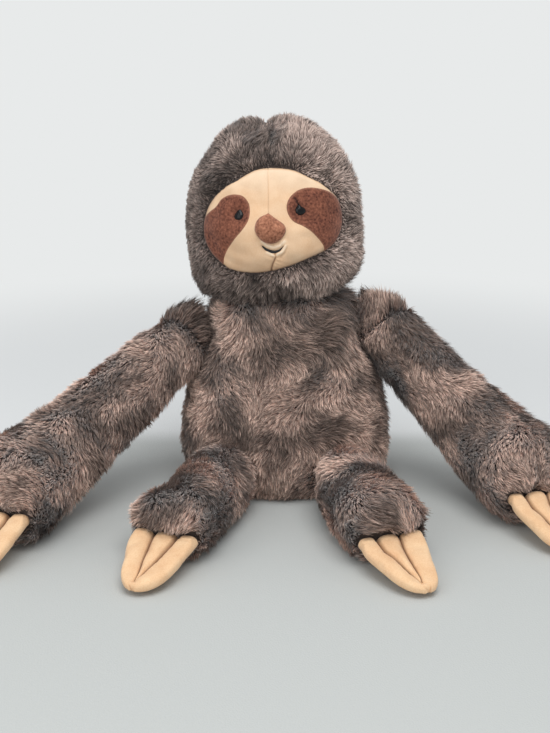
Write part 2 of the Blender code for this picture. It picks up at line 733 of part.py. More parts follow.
def build_head():
    """Head covers, face cloth, filling and features, all turning about the neck ball's centre."""
    neck = pivot("neck_pivot", NECK)
    add("neck_filling", closed_bmesh(neck_wad_rings()), FILLING, neck)
    head = pivot("head_pivot", NECK, (0, -HEAD_TILT, 0))
    middle = Vector((0, 0, 0))
    socket = cutter("neck_socket_cutter", socket_bmesh(middle, NECK_BALL_RADIUS, NECK_SIDES), head, local=True)
    hood_opening = cutter("hood_opening_cutter", face_prism(GAP / 2), head, local=True)
    face_outline = cutter("face_outline_cutter", face_prism(-GAP / 2), head, local=True)
    rings = [head_ring(share) for share in head_shares()]
    half = HEAD_SIDES // 2
    filling = add("head_filling", closed_bmesh(inset_rings(rings, CLOTH + GAP)), FILLING, head, local=True)
    cut(filling, socket)

    nose_centre = Vector((0, NOSE_MIDDLE_HEIGHT))
    nose_outline = [nose_centre + Vector((x * NOSE_WIDTH / 2, z * NOSE_HEIGHT / 2)) for x, z in NOSE_OUTLINE_SHARES]
    add("nose", applied_patch(nose_outline, nose_centre, GAP, NOSE_EDGE, NOSE_SWELL, NOSE_RINGS), NOSE, head,
        local=True)
    add("mouth", thread_bmesh(smile_path(rings), THREAD_RADIUS), THREAD, head, local=True)

    for side, side_name, first, last in ((1, "left", 0, half), (-1, "right", half, 2 * half)):
        into = (side, 0, 0)
        cover = add(f"head_{side_name}_panel", panel_bmesh(rings, first, last, into), PLUSH, head, local=True)
        cut(cover, hood_opening)
        cut(cover, socket)
        cloth = add(f"face_{side_name}_panel", panel_bmesh(rings, first, last, into), FACE, head, local=True)
        cut(cloth, face_outline, "INTERSECT")
        build_eye(side, side_name, head, cloth, filling)


def build_eye(side, side_name, head, cloth, filling):
    """Patch, eye and washer of one side, with the hole for the shank."""
    centre = Vector((side * EYE_SPACING / 2, EYE_HEIGHT))
    outline = [Vector((side * x * FACE_WIDTH / 2, FACE_MIDDLE_HEIGHT + z * FACE_HEIGHT / 2))
               for x, z in PATCH_OUTLINE_SHARES]
    patch = add(f"eye_patch_{side_name}",
                applied_patch(outline, Vector((side * PATCH_MIDDLE_SHARES[0] * FACE_WIDTH / 2,
                                               FACE_MIDDLE_HEIGHT + PATCH_MIDDLE_SHARES[1] * FACE_HEIGHT / 2)),
                              GAP, PATCH_THICKNESS, 0, PATCH_RINGS), PATCH, head, local=True)
    seat, outward = on_face(centre.x, centre.y, GAP + PATCH_THICKNESS + GAP)
    turn = outward.to_track_quat("Z", "Y").to_matrix().to_4x4()
    eye = closed_bmesh(eye_rings())
    bmesh.ops.transform(eye, matrix=Matrix.Translation(seat) @ turn, verts=eye.verts)
    add(f"eye_{side_name}", eye, EYE, head, local=True)
    hole_length = 2 * (SHANK_LENGTH + GAP)
    hole = cutter(f"shank_{side_name}_cutter",
                  cylinder_bmesh(seat, outward, SHANK_RADIUS + GAP, hole_length, SMALL_SIDES), head, local=True)
    washer_top = PATCH_THICKNESS + CLOTH + 3 * GAP + WASHER_SET_BACK
    washer = add(f"eye_washer_{side_name}",
                 cylinder_bmesh(seat - outward * (washer_top + WASHER_THICKNESS / 2), outward, WASHER_RADIUS,
                                WASHER_THICKNESS, SMALL_SIDES), WASHER, head, local=True)
    pocket_floor = washer_top + WASHER_THICKNESS + GAP
    pocket = cutter(f"washer_{side_name}_cutter",
                    cylinder_bmesh(seat - outward * pocket_floor / 2, outward, WASHER_RADIUS + GAP, pocket_floor,
                                   SMALL_SIDES), head, local=True)
    for piece in (patch, cloth, washer, filling):
        cut(piece, hole)
    cut(filling, pocket)


ROUTES = [
    arm_route(1, "left", ARM_REACH_LEFT, ARM_SPLAY_LEFT, HAND_SPLAY_LEFT),
    arm_route(-1, "right", ARM_REACH_RIGHT, ARM_SPLAY_RIGHT, HAND_SPLAY_RIGHT),
    leg_route(1, "left", LEG_SPLAY_LEFT, FOOT_SPLAY_LEFT),
    leg_route(-1, "right", LEG_SPLAY_RIGHT, FOOT_SPLAY_RIGHT),
]
build_body(ROUTES)
build_head()
for route in ROUTES:
    build_limb(**route)
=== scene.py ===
# %% [markdown]
# # A seated plush sloth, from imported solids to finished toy
# The toy is sewn from long-pile plush with a short-pile face and claws. Its solids come in as a frame of
# plain forms with real sizes. This lesson dresses them: smooth skins for the stuffed parts, a pile of small
# tufts combed over them, a padded face with its stitching, and soft light on a plain floor.

# %% Load the frame
import json
import math

import bmesh
import bpy
import numpy as np
from mathutils import Matrix, Vector, noise
from mathutils.bvhtree import BVHTree


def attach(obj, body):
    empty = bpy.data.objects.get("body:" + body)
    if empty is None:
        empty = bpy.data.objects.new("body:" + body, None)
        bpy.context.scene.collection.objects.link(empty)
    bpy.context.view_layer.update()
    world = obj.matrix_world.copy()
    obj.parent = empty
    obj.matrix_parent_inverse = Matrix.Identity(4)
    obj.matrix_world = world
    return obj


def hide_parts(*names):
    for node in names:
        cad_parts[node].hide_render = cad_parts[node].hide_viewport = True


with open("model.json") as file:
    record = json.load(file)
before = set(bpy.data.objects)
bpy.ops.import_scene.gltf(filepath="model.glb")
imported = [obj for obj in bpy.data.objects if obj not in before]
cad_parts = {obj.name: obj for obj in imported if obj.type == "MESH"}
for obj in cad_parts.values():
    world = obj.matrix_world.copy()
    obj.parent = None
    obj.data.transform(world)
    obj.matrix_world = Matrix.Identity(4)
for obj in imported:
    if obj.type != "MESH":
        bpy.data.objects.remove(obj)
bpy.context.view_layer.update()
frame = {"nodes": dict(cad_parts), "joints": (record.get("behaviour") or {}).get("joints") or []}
joints = {joint["name"]: joint for joint in frame["joints"]}

# %% [markdown]
# ## Colours and nodes
# Colours are written as they are read off a screen, in sRGB hex, and turned to linear light once. Node trees
# for shaders and for geometry are both built with one helper, so a tree reads like a list of its steps.

# %% Helpers for colours, shares, nodes, trees and materials
def linear(hex_colour):
    """An sRGB hex colour as linear light."""
    channels = [int(hex_colour[i:i + 2], 16) / 255 for i in (0, 2, 4)]
    return [c / 12.92 if c <= 0.04045 else ((c + 0.055) / 1.055) ** 2.4 for c in channels] + [1.0]


def ramp(value, start, length):
    """0 up to the start, 1 from a length beyond it, and even in between."""
    return min(max((value - start) / length, 0), 1)


def add(tree, kind, inputs=None, **settings):
    """Adds a node with its settings; an input is a value, or another node or socket to link."""
    made = tree.nodes.new(kind)
    for name, value in settings.items():
        setattr(made, name, value)
    for name, value in (inputs or {}).items():
        if isinstance(value, bpy.types.Node):
            value = value.outputs[0]
        if isinstance(value, bpy.types.NodeSocket):
            tree.links.new(value, made.inputs[name])
        else:
            made.inputs[name].default_value = value
    return made


def sums(tree, kind, known, rows):
    """Adds a node per row: its result's name, its operation, and what it reads, by name or as a number."""
    for name, operation, *of in rows:
        slots = (0, "Scale") if operation == "SCALE" else range(3)
        inputs = {slot: known[x] if isinstance(x, str) else x for slot, x in zip(slots, of)}
        outputs = add(tree, kind, inputs, operation=operation).outputs
        known[name] = outputs["Value" if operation == "DOT_PRODUCT" else 0]


def new_tree(name, result, *sockets):
    """A Geometry Nodes group with its named inputs (name, kind, value) and one geometry as its result."""
    tree = bpy.data.node_groups.new(name, "GeometryNodeTree")
    for label, kind, value in sockets:
        socket = tree.interface.new_socket(label, in_out="INPUT", socket_type="NodeSocket" + kind)
        if value is not None:
            socket.default_value = value
    tree.interface.new_socket(result, in_out="OUTPUT", socket_type="NodeSocketGeometry")
    return tree, add(tree, "NodeGroupInput").outputs


def material(name, numbers):
    """A material, its node tree and its shader, with the shader's numbers set."""
    made = bpy.data.materials.new(name)
    made.use_nodes = True
    shader = made.node_tree.nodes["Principled BSDF"]
    for socket, value in numbers.items():
        shader.inputs[socket].default_value = value
    return made, made.node_tree, shader


def flecked(name, dark, light, noise_inputs, numbers):
    """A material whose colour wavers between two along a fine noise."""
    made, tree, shader = material(name, numbers)
    place = add(tree, "ShaderNodeTexCoord").outputs["Object"]
    fibres = add(tree, "ShaderNodeTexNoise", {"Vector": place, **noise_inputs})
    shown = add(tree, "ShaderNodeMix", {0: fibres, 6: linear(dark), 7: linear(light)}, data_type="RGBA")
    tree.links.new(shown.outputs[2], shader.inputs["Base Color"])
    return made


# %% [markdown]
# ## The camera
# The photograph was taken from about a metre away, a little above the toy and looking down. Sizes on the toy
# and places in the picture agree with a focal length of 1111 pixels. The camera is made first, because the
# face is drawn in the picture's own pixels and then laid on the head along the camera's lines of sight.

# %% Camera and lines of sight
PICTURE = (550, 733)
FOCAL_PIXELS = 1111
PITCH = math.radians(16.8)
EYE_POINT = Vector((-0.0095, -1.027, 0.42))

camera = bpy.data.objects.new("camera", bpy.data.cameras.new("camera"))
bpy.context.scene.collection.objects.link(camera)
camera.location = EYE_POINT
camera.rotation_euler = (math.pi / 2 - PITCH, 0, 0)
camera.data.sensor_fit = "VERTICAL"
camera.data.sensor_height = 24
camera.data.lens = 24 * FOCAL_PIXELS / PICTURE[1]
camera.data.clip_start = 0.01
bpy.context.scene.camera = camera

RIGHT = np.array([1, 0, 0])
AHEAD = np.array([0, math.cos(PITCH), -math.sin(PITCH)])
UP = np.array([0, math.sin(PITCH), math.cos(PITCH)])


def sight(u, v):
    """Direction from the camera through a pixel of the picture."""
    away = AHEAD + RIGHT * (u - PICTURE[0] / 2) / FOCAL_PIXELS - UP * (v - PICTURE[1] / 2) / FOCAL_PIXELS
    return Vector(away).normalized()


def pixels(points):
    """Where points of the scene fall in the picture."""
    away = np.asarray(points) - np.array(EYE_POINT)
    depth = away @ AHEAD
    return np.stack([PICTURE[0] / 2 + FOCAL_PIXELS * (away @ RIGHT) / depth,
                     PICTURE[1] / 2 - FOCAL_PIXELS * (away @ UP) / depth], 1)


print("lens", round(camera.data.lens, 2), "mm; the seat's middle falls at", pixels([[0, 0, 0]])[0].round())

# %% [markdown]
# ## Skins for the stuffed parts
# Each stuffed part arrives as two cloth panels round a filling. A voxel remesh joins copies of them into one
# closed form with even faces, and a few rounds of smoothing round off the facets, as filling does to cloth.
# Where two panels meet there is a seam: a place on the skin that lies close to both of them.

# %% Make a skin
def finished(obj):
    """The object with its modifiers applied, as a plain mesh."""
    depsgraph = bpy.context.evaluated_depsgraph_get()
    mesh = bpy.data.meshes.new_from_object(obj.evaluated_get(depsgraph))
    obj.modifiers.clear()
    old, obj.data = obj.data, mesh
    mesh.name = obj.name
    bpy.data.meshes.remove(old)
    return obj


def grown(obj, tree, wanted):
    """The object with a tree run on it, its inputs set by name, as a plain mesh."""
    runner = obj.modifiers.new(tree.name, "NODES")
    runner.node_group = tree
    for item in tree.interface.items_tree:
        if item.in_out == "INPUT" and item.name in wanted:
            runner[item.identifier] = wanted[item.name]
    return finished(obj)


def new_object(name, bm_or_mesh):
    """Object from a bmesh or a mesh, at the origin."""
    mesh = bm_or_mesh
    if isinstance(bm_or_mesh, bmesh.types.BMesh):
        mesh = bpy.data.meshes.new(name)
        bm_or_mesh.to_mesh(mesh)
        bm_or_mesh.free()
    obj = bpy.data.objects.new(name, mesh)
    bpy.context.scene.collection.objects.link(obj)
    return obj


def skin(name, nodes, voxel, rounds):
    """One closed, smooth skin round several CAD nodes."""
    bm = bmesh.new()
    for node in nodes:
        bm.from_mesh(frame["nodes"][node].data)
    bmesh.ops.remove_doubles(bm, verts=bm.verts, dist=1e-5)
    obj = new_object(name, bm)
    remesh = obj.modifiers.new("even faces", "REMESH")
    remesh.mode = "VOXEL"
    remesh.voxel_size = voxel
    relax = obj.modifiers.new("relax", "SMOOTH")
    relax.factor = 0.5
    relax.iterations = rounds
    finished(obj)
    bm = bmesh.new()
    bm.from_mesh(obj.data)
    # A small hollow inside may survive the remesh, so only the largest shell is kept
    unseen, shells = set(bm.verts), []
    while unseen:
        shell, edge = [], [unseen.pop()]
        while edge:
            vert = edge.pop()
            shell.append(vert)
            for link in vert.link_edges:
                other = link.other_vert(vert)
                if other in unseen:
                    unseen.remove(other)
                    edge.append(other)
        shells.append(shell)
    shells.sort(key=len)
    bmesh.ops.delete(bm, geom=[v for shell in shells[:-1] for v in shell], context="VERTS")
    bmesh.ops.recalc_face_normals(bm, faces=bm.faces)
    bm.to_mesh(obj.data)
    bm.free()
    obj.data.shade_smooth()
    print(name, len(obj.data.polygons), "faces")
    return obj


def on_seam(obj, panels):
    """How near each point of a skin is to a seam between CAD panels, from 0 to 1."""
    trees = [BVHTree.FromPolygons([v.co for v in mesh.vertices], [list(f.vertices) for f in mesh.polygons])
             for mesh in (frame["nodes"][panel].data for panel in panels)]
    gaps = [sorted(tree.find_nearest(vert.co)[3] for tree in trees)[1] for vert in obj.data.vertices]
    return np.exp(-(np.array(gaps) / SEAM_REACH) ** 2)


SEAM_REACH = 0.0035
# Each stuffed part, named after its body: its sewn panels, what else it holds, its voxels and rounds of smoothing
PARTS = {
    "body": (("body_front_panel", "body_back_panel", "seat_panel"), ("body_filling", "pellet_pouch"), 0.004, 6),
    "head": (("head_left_panel", "head_right_panel", "face_left_panel", "face_right_panel"),
             ("head_filling", "eye_washer_left", "eye_washer_right"), 0.0035, 8),
}
for side in ("left", "right"):
    PARTS[f"arm_{side}"] = ((f"arm_{side}_front_panel", f"arm_{side}_back_panel"),
                            (f"arm_{side}_filling", f"shoulder_{side}_filling"), 0.004, 6)
    PARTS[f"leg_{side}"] = ((f"leg_{side}_upper_panel", f"leg_{side}_sole_panel"),
                            (f"leg_{side}_filling", f"hip_{side}_filling"), 0.0035, 6)
skins, seams = {}, {}
for part, (panels, within, voxel, rounds) in PARTS.items():
    skins[part] = skin(f"{part}_skin", panels + within, voxel, rounds)
    seams[skins[part]] = on_seam(skins[part], panels)
body_skin, head_skin = skins["body"], skins["head"]

# %% [markdown]
# ## Stuffing
# Filling presses cloth out wherever no seam and no floor holds it, and the cloth puckers beside its seams. The
# Cloth simulation does this: each skin starts a little smaller, its seams start deeper and are pinned, and a
# pressure inside swells the rest over twenty frames. How far a point may move is capped, so that every skin
# stays in the space of its solids.

# %% Stuff the skins
def places(obj):
    """All vertex places of an object as it stands now, with its modifiers."""
    shown = obj.evaluated_get(bpy.context.evaluated_depsgraph_get()).data
    flat = np.empty(len(shown.vertices) * 3)
    shown.vertices.foreach_get("co", flat)
    return flat.reshape(-1, 3)


def stuff(held, pressure, cap, spare=0.03):
    """Swells closed skins like stuffed cloth; held gives each object's pinned vertices, as numbers."""
    before = {}
    for obj, pinned in held.items():
        before[obj] = places(obj)
        pins = obj.vertex_groups.new(name="pins")
        pins.add([int(i) for i in pinned], 1.0, "REPLACE")
        cloth = obj.modifiers.new("stuffing", "CLOTH").settings
        cloth.quality = 5
        cloth.mass = 0.1
        cloth.tension_stiffness = cloth.compression_stiffness = 12
        cloth.shear_stiffness = 5
        cloth.bending_stiffness = 0.3
        cloth.use_pressure = True
        cloth.uniform_pressure_force = pressure
        cloth.shrink_min = -spare
        cloth.vertex_group_mass = "pins"
        cloth.effector_weights.gravity = 0
    for step in range(1, 21):
        bpy.context.scene.frame_set(step)
    after = {obj: places(obj) for obj in held}
    for obj in held:
        obj.modifiers.clear()
        obj.vertex_groups.clear()
        move = after[obj] - before[obj]
        far = np.linalg.norm(move, axis=1)
        move *= (cap * np.tanh(far / cap) / np.maximum(far, 1e-9))[:, None]
        obj.data.vertices.foreach_set("co", (before[obj] + move).ravel())
        obj.data.update()
        print(obj.name, "swells", round(float(far.mean()) * 1000, 2), "mm, at most",
              round(float(far.max()) * 1000, 2), "mm before the cap")
    bpy.context.scene.frame_set(1)


for obj, seam in seams.items():
    for vert, share in zip(obj.data.vertices, seam):
        vert.co -= vert.normal * (0.0010 + 0.0022 * share) * ramp(vert.co.z, 0.002, 0.01)

# Where the photograph shows a part fuller or flatter: the place in the picture, the push and its reach in pixels
PUSHES = (
    ("body", (207, 310), (-8, -8), 16), ("body", (356, 300), (2, -12), 14), ("arm_right", (150, 316), (3, 6), 16),
    ("arm_right", (198, 308), (-1, -11), 14), ("arm_left", (369, 299), (-8, -10), 14),
    ("leg_right", (163, 476), (3, 8), 22), ("head", (200, 286), (-5, 3), 14), ("head", (366, 230), (-4, 0), 30),
    ("head", (208, 150), (3, 1), 18),
)
for part, middle, (aside, down), reach in PUSHES:
    verts = skins[part].data.vertices
    for vert, spot in zip(verts, pixels([v.co[:] for v in verts])):
        share = math.exp(-(((spot - middle) ** 2).sum() / reach ** 2)) * (vert.co - EYE_POINT).length / FOCAL_PIXELS
        vert.co += Vector(RIGHT * aside - UP * down) * share
stuff({obj: np.flatnonzero((seam > 0.55) | np.array([v.co.z < 0.004 for v in obj.data.vertices]))
       for obj, seam in seams.items()}, 4, 0.0028)

# %% [markdown]
# ## The outlines of the face
# The edges of the pale face, the brown eye patches, the nose and the smile are drawn in picture pixels and
# made smooth with a closed spline, since a sewn edge has no corners that its points don't ask for.

# %% Outlines in picture pixels
FACE_OUTLINE = (
    (268, 168.9), (282, 168.9), (294.8, 171.2), (307.6, 176.6), (320.3, 183), (330.5, 191), (337.5, 199.3),
    (341, 210), (341.7, 221), (339.4, 232.4), (334, 242.4), (324.1, 250.3), (307.6, 258.2), (292.2, 264.6),
    (271.8, 270.6), (256.5, 272.4), (241.2, 271.6), (229.5, 268.4), (221, 261.8), (211.9, 252.4), (206.1, 241),
    (204.4, 229.9), (205.2, 218.4), (208.7, 207.4), (215.2, 196.7), (224.6, 187.8), (237.4, 180.2),
    (248.9, 173.8), (257.8, 170),
)
PATCH_OUTLINES = {
    "right": ((236.1, 194.9), (243.8, 197.2), (248.9, 203.4), (250.4, 212), (248.6, 221), (243.4, 229.6),
              (236.1, 238.2), (229.7, 247.4), (225.6, 256.4), (223.4, 264), (216, 258.5), (208.6, 248.8),
              (204.2, 238), (203.2, 227), (205.4, 217.5), (211.5, 211.6), (217.4, 206.9), (222.8, 199.6),
              (229.1, 195.8)),
    "left": ((311.4, 188.3), (321.6, 189.9), (330.5, 193.3), (337.4, 199.3), (341.8, 210), (342.8, 221),
             (340.6, 232.4), (335.2, 243.6), (326, 251.4), (321.8, 244.6), (317.4, 238.4), (311.2, 232),
             (302.4, 226.6), (293.5, 222.2), (288.4, 215.4), (286.5, 206.9), (289.1, 199), (295.4, 192.3),
             (302.4, 189)),
}
NOSE_OUTLINE = (
    (268.1, 213.6), (270.4, 215.2), (274.8, 218.2), (279.6, 221.6), (283.6, 225.6), (285.6, 229.8), (284.6, 234),
    (281.4, 238.8), (277, 242.2), (271.8, 243.6), (266.6, 242.8), (261.4, 240.1), (257.4, 235.6), (255.4, 231),
    (255.3, 226.6), (256.5, 222.2), (259.3, 218.6), (263.2, 216), (266.2, 214.9),
)
PATCH_MIDDLES = {"right": (226.5, 224), "left": (315, 214)}
FACE_MIDDLE, NOSE_MIDDLE = (273, 221), (270.5, 230)
EYES = {"right": (239.4, 215.2), "left": (300.2, 210.2)}
SMILE = ((262.6, 246), (266.7, 249.7), (272.5, 251.9), (278.4, 251), (281.6, 248.4), (283.2, 245.9))


def spline(points, count, closed):
    """Even places along a smooth curve through points."""
    points = np.array(points, float)
    total = len(points)
    dense = []
    for i in range(total if closed else total - 1):
        if closed:
            a, b, c, d = (points[(i + k - 1) % total] for k in range(4))
        else:
            a, b, c, d = (points[min(max(i + k - 1, 0), total - 1)] for k in range(4))
        for t in np.linspace(0, 1, 24, endpoint=False):
            dense.append(0.5 * (2 * b + (c - a) * t + (2 * a - 5 * b + 4 * c - d) * t ** 2
                                + (3 * b - a - 3 * c + d) * t ** 3))
    dense = np.array(dense + [points[0] if closed else points[-1]])
    along = np.concatenate([[0], np.cumsum(np.linalg.norm(np.diff(dense, axis=0), axis=1))])
    places = np.linspace(0, along[-1], count + 1 if closed else count)
    even = np.stack([np.interp(places, along, dense[:, k]) for k in range(dense.shape[1])], 1)
    return even[:-1] if closed else even


def inside(points, outline):
    """Which points of the picture lie inside a closed outline."""
    x, y = points[:, 0], points[:, 1]
    hit = np.zeros(len(points), bool)
    for (x0, y0), (x1, y1) in zip(outline, np.roll(outline, -1, axis=0)):
        crosses = (y0 > y) != (y1 > y)
        reach = x0 + (y - y0) * (x1 - x0) / (y1 - y0 if y1 != y0 else 1e-9)
        hit ^= crosses & (x < reach)
    return hit


face_edge = spline(FACE_OUTLINE, 256, True)
print("face outline spans", np.ptp(face_edge, axis=0).round(1), "pixels")

# %% [markdown]
# ## How the pile lies
# Plush pile leans over, and hands leave swirls in it. Each skin carries three attributes that its tufts read: `comb`,
# the way the pile lies along the cloth, `pile`, its length as a share of full length, and the tone with its painted
# shade, how light a patch looks: random patches, painted lighter or darker by the way the pile leans, and painted light
# and shade for where light falls on a part. A main flow is turned by slow noise. Pile is shorter along the seams and
# painted darker there as shade, and under the face there is none: its length falls to nothing across the sewn edge, by
# distance in the picture, with painted shade on the pile beside that edge.

# %% Comb the skins
UPWARDS = Vector((0, 0, 1))


def spot_of(joint):
    """Where a joint sits."""
    return Vector(joints[joint]["pos_m"])


def ahead_of(joint):
    """The way a limb points, from its hinge axis."""
    return UPWARDS.cross(Vector(joints[joint]["axis"])).normalized()


def comb(obj, flow, length, swirl, size, seed, painted_light_and_shade=lambda p: 0.0):
    """Writes comb, pile and the tone with its painted shade on a skin; flow, length and the painted light and shade are
    functions of a place.
    """
    ways, piles, tones_and_shade = [], [], []
    shift = Vector((seed * 3.1, seed * 1.7, seed * 2.3))
    for vert, seam in zip(obj.data.vertices, seams[obj]):
        p, n = vert.co, vert.normal
        way = flow(p, n)
        way = way - n * way.dot(n)
        if way.length < 1e-4:
            way = n.orthogonal()
        turn = swirl * noise.noise(p / size + shift) + 0.35 * swirl * noise.noise(p / (size * 0.45) - shift)
        way = Matrix.Rotation(turn, 3, n) @ way.normalized()
        ways.extend(way)
        piles.append(length(p, n) * (1 - 0.35 * seam))
        # Tone: random patches, painted lighter or darker by the way the pile leans, with painted shade along the seams
        # and the part's own painted light and shade added
        patch = 1.5 * noise.noise(p / 0.036 + shift * 2) + 0.7 * noise.noise(p / 0.015 - shift)
        tones_and_shade.append(0.5 + 0.5 * math.tanh(3.2 * patch - 0.5 * way.z - 0.5 * way.x) - 0.35 * seam + painted_light_and_shade(p))
    tones_and_shade = [max(tone_and_shade, 0.0) for tone_and_shade in tones_and_shade]
    for name, kind, field, values in (("comb", "FLOAT_VECTOR", "vector", ways), ("pile", "FLOAT", "value", piles),
                                      ("tone_and_shade", "FLOAT", "value", tones_and_shade)):
        obj.data.attributes.new(name, kind, "POINT").data.foreach_set(field, values)


NECK = spot_of("neck_turn")
HEAD_LEAN = math.tan(math.radians(-5))
# Each limb's kind and side, the joint at its root and the joint at its claws
LIMBS = [(kind, side, f"{ball}_{side}_swing", f"{end}_{side}_flex") for side in ("left", "right")
         for kind, ball, end in (("arm", "shoulder", "hand"), ("leg", "hip", "foot"))]


def body_flow(p, n):
    return Vector((p.x * 4, 0, -1))


def body_length(p, n):
    if n.z < -0.75 and p.z < 0.012:
        return 0.3
    from_roots = [p - spot_of(root_joint) for _, _, root_joint, _ in LIMBS]
    if any(off.length < 0.036 and off.z < 0.016 for off in from_roots):
        return 0.35
    return 1.0 + 0.55 * ramp(p.z, 0.150, 0.02)


comb(body_skin, body_flow, body_length, 2.6, 0.045, 3)

face_middle_ray = sight(*FACE_MIDDLE)
head_tree = BVHTree.FromPolygons([v.co for v in head_skin.data.vertices],
                                 [list(f.vertices) for f in head_skin.data.polygons])
FACE_POINT = head_tree.ray_cast(EYE_POINT, face_middle_ray)[0]
print("face middle at", [round(c, 3) for c in FACE_POINT])


def off_middle(p):
    """How far a place is from the head's middle seam, which leans with the head."""
    return p.x - (p.z - NECK.z) * HEAD_LEAN


def head_flow(p, n):
    away = (p - (FACE_POINT + Vector((0, 0.02, 0)))).normalized() + Vector((0, 0.25, -0.25))
    part = math.exp(-(off_middle(p) / 0.007) ** 2) * ramp(p.z, 0.26, 0.02)
    return away + Vector((math.copysign(0.8, off_middle(p)) * part, 0, 0))


def head_length(p, n):
    chin = math.exp(-((p.z - 0.192) / 0.016) ** 2) * (p.y < NECK.y)
    return 0.92 + 0.4 * chin


# The middle seam pulls a groove into the crown, between two rounded halves
for vert in head_skin.data.vertices:
    groove = 0.0012 * math.exp(-(off_middle(vert.co) / 0.004) ** 2)
    vert.co -= vert.normal * ramp(vert.co.z, 0.26, 0.04) * groove
head_skin.data.update()
# The last argument paints light and shade: the hood lighter towards the viewer's right and darker on the other side,
# the crown lighter and the chin darker, as light falls from above
comb(head_skin, head_flow, head_length, 1.9, 0.030, 5,
     lambda p: 0.5 * math.tanh(off_middle(p) / 0.03) - 0.6 * math.exp(-((p.z - 0.192) / 0.014) ** 2)
     + 0.3 * ramp(p.z, 0.285, 0.03))
# How far each place is from the face's edge, in picture pixels, outside positive
def to_line(uv, line):
    """Distance in pixels from places in the picture to an open line, and the share along it."""
    best, share = np.full(len(uv), 1e9), np.zeros(len(uv))
    line = np.array(line, float)
    for k, (a, b) in enumerate(zip(line[:-1], line[1:])):
        along = np.clip(((uv - a) @ (b - a)) / ((b - a) @ (b - a)), 0, 1)
        off = np.linalg.norm(uv - a - along[:, None] * (b - a), axis=1)
        nearer = off < best
        best[nearer] = off[nearer]
        share[nearer] = (k + along[nearer]) / (len(line) - 1)
    return best, share


head_pixels = pixels([v.co[:] for v in head_skin.data.vertices])
face_loop = np.vstack([face_edge, face_edge[:1]])
edge_gap, _ = to_line(head_pixels, face_loop)
edge_gap = np.where(inside(head_pixels, face_edge), -edge_gap, edge_gap)
facing = np.array([v.normal.dot(face_middle_ray) < 0.3 and v.co.y < NECK.y for v in head_skin.data.vertices])
piles, tones_and_shade = (head_skin.data.attributes[name].data for name in ("pile", "tone_and_shade"))
# By the face's edge the pile is painted darker, as shade where the hood meets the face
for i in np.flatnonzero(facing):
    piles[i].value *= float(np.clip(0.16 + 0.13 * edge_gap[i], -0.6, 1))
    tones_and_shade[i].value -= 0.3 * math.exp(-(max(edge_gap[i], 0) / 4) ** 2)
    head_skin.data.vertices[i].co += 0.004 * face_middle_ray * float(np.clip(-edge_gap[i] / 4, 0, 1))
head_skin.data.update()

for kind, side, root_joint, tip_joint in LIMBS:
    root, hinge = spot_of(root_joint), spot_of(tip_joint)
    hinge_line, forward = Vector(joints[tip_joint]["axis"]), ahead_of(tip_joint)
    limb = hinge - root

    def limb_flow(p, n):
        share = ramp((p - root).dot(limb), 0, limb.length_squared)
        along = limb.normalized().lerp(forward, share)
        if kind == "arm" and (p - root).dot(limb) < 0 and p.z > root.z:
            return Vector((-math.copysign(1, root.x), 0, 1))
        return along + Vector((0, 0, -0.8 * (1 - share)))

    def limb_length(p, n):
        off = p - hinge
        if (off - hinge_line * off.dot(hinge_line)).length < 0.011 and abs(off.dot(hinge_line)) < 0.031:
            return 0.0
        if (p - root).dot(limb) < 0 and (p - root).length < 0.04:
            return 0.6 + 1.2 * ramp(p.z, root.z, 0.03) * (kind == "arm")
        if kind == "leg" and n.z > 0.3 and off.length < 0.04:
            return 1.3
        return 0.45 if n.z < -0.8 and p.z < 0.01 else 1.0

    # Painted light and shade: legs a little lighter against the shade they sit in low down, arms darker near their
    # roots, in the body's shade
    def limb_painted_light_and_shade(p):
        if kind == "leg":
            return 0.1
        return -(0.4 if side == "right" else 0.6) * math.exp(-((p - root).length / 0.05) ** 2)

    comb(skins[f"{kind}_{side}"], limb_flow, limb_length, 2.8, 0.042,
         7 + 3 * (side == "left") + 5 * (kind == "leg"), limb_painted_light_and_shade)

# %% [markdown]
# ## The pile
# A plush pile is thousands of fine tufts. Geometry Nodes scatter narrow, tapering blades over a skin, lean
# each along `comb`, draw the tips of neighbours together into wisps, and keep them off the floor. The blades
# are real mesh in the end, so a blade has only two faces. Each blade also gets its own cell of a UV map, so that
# its colours can be kept in one picture.

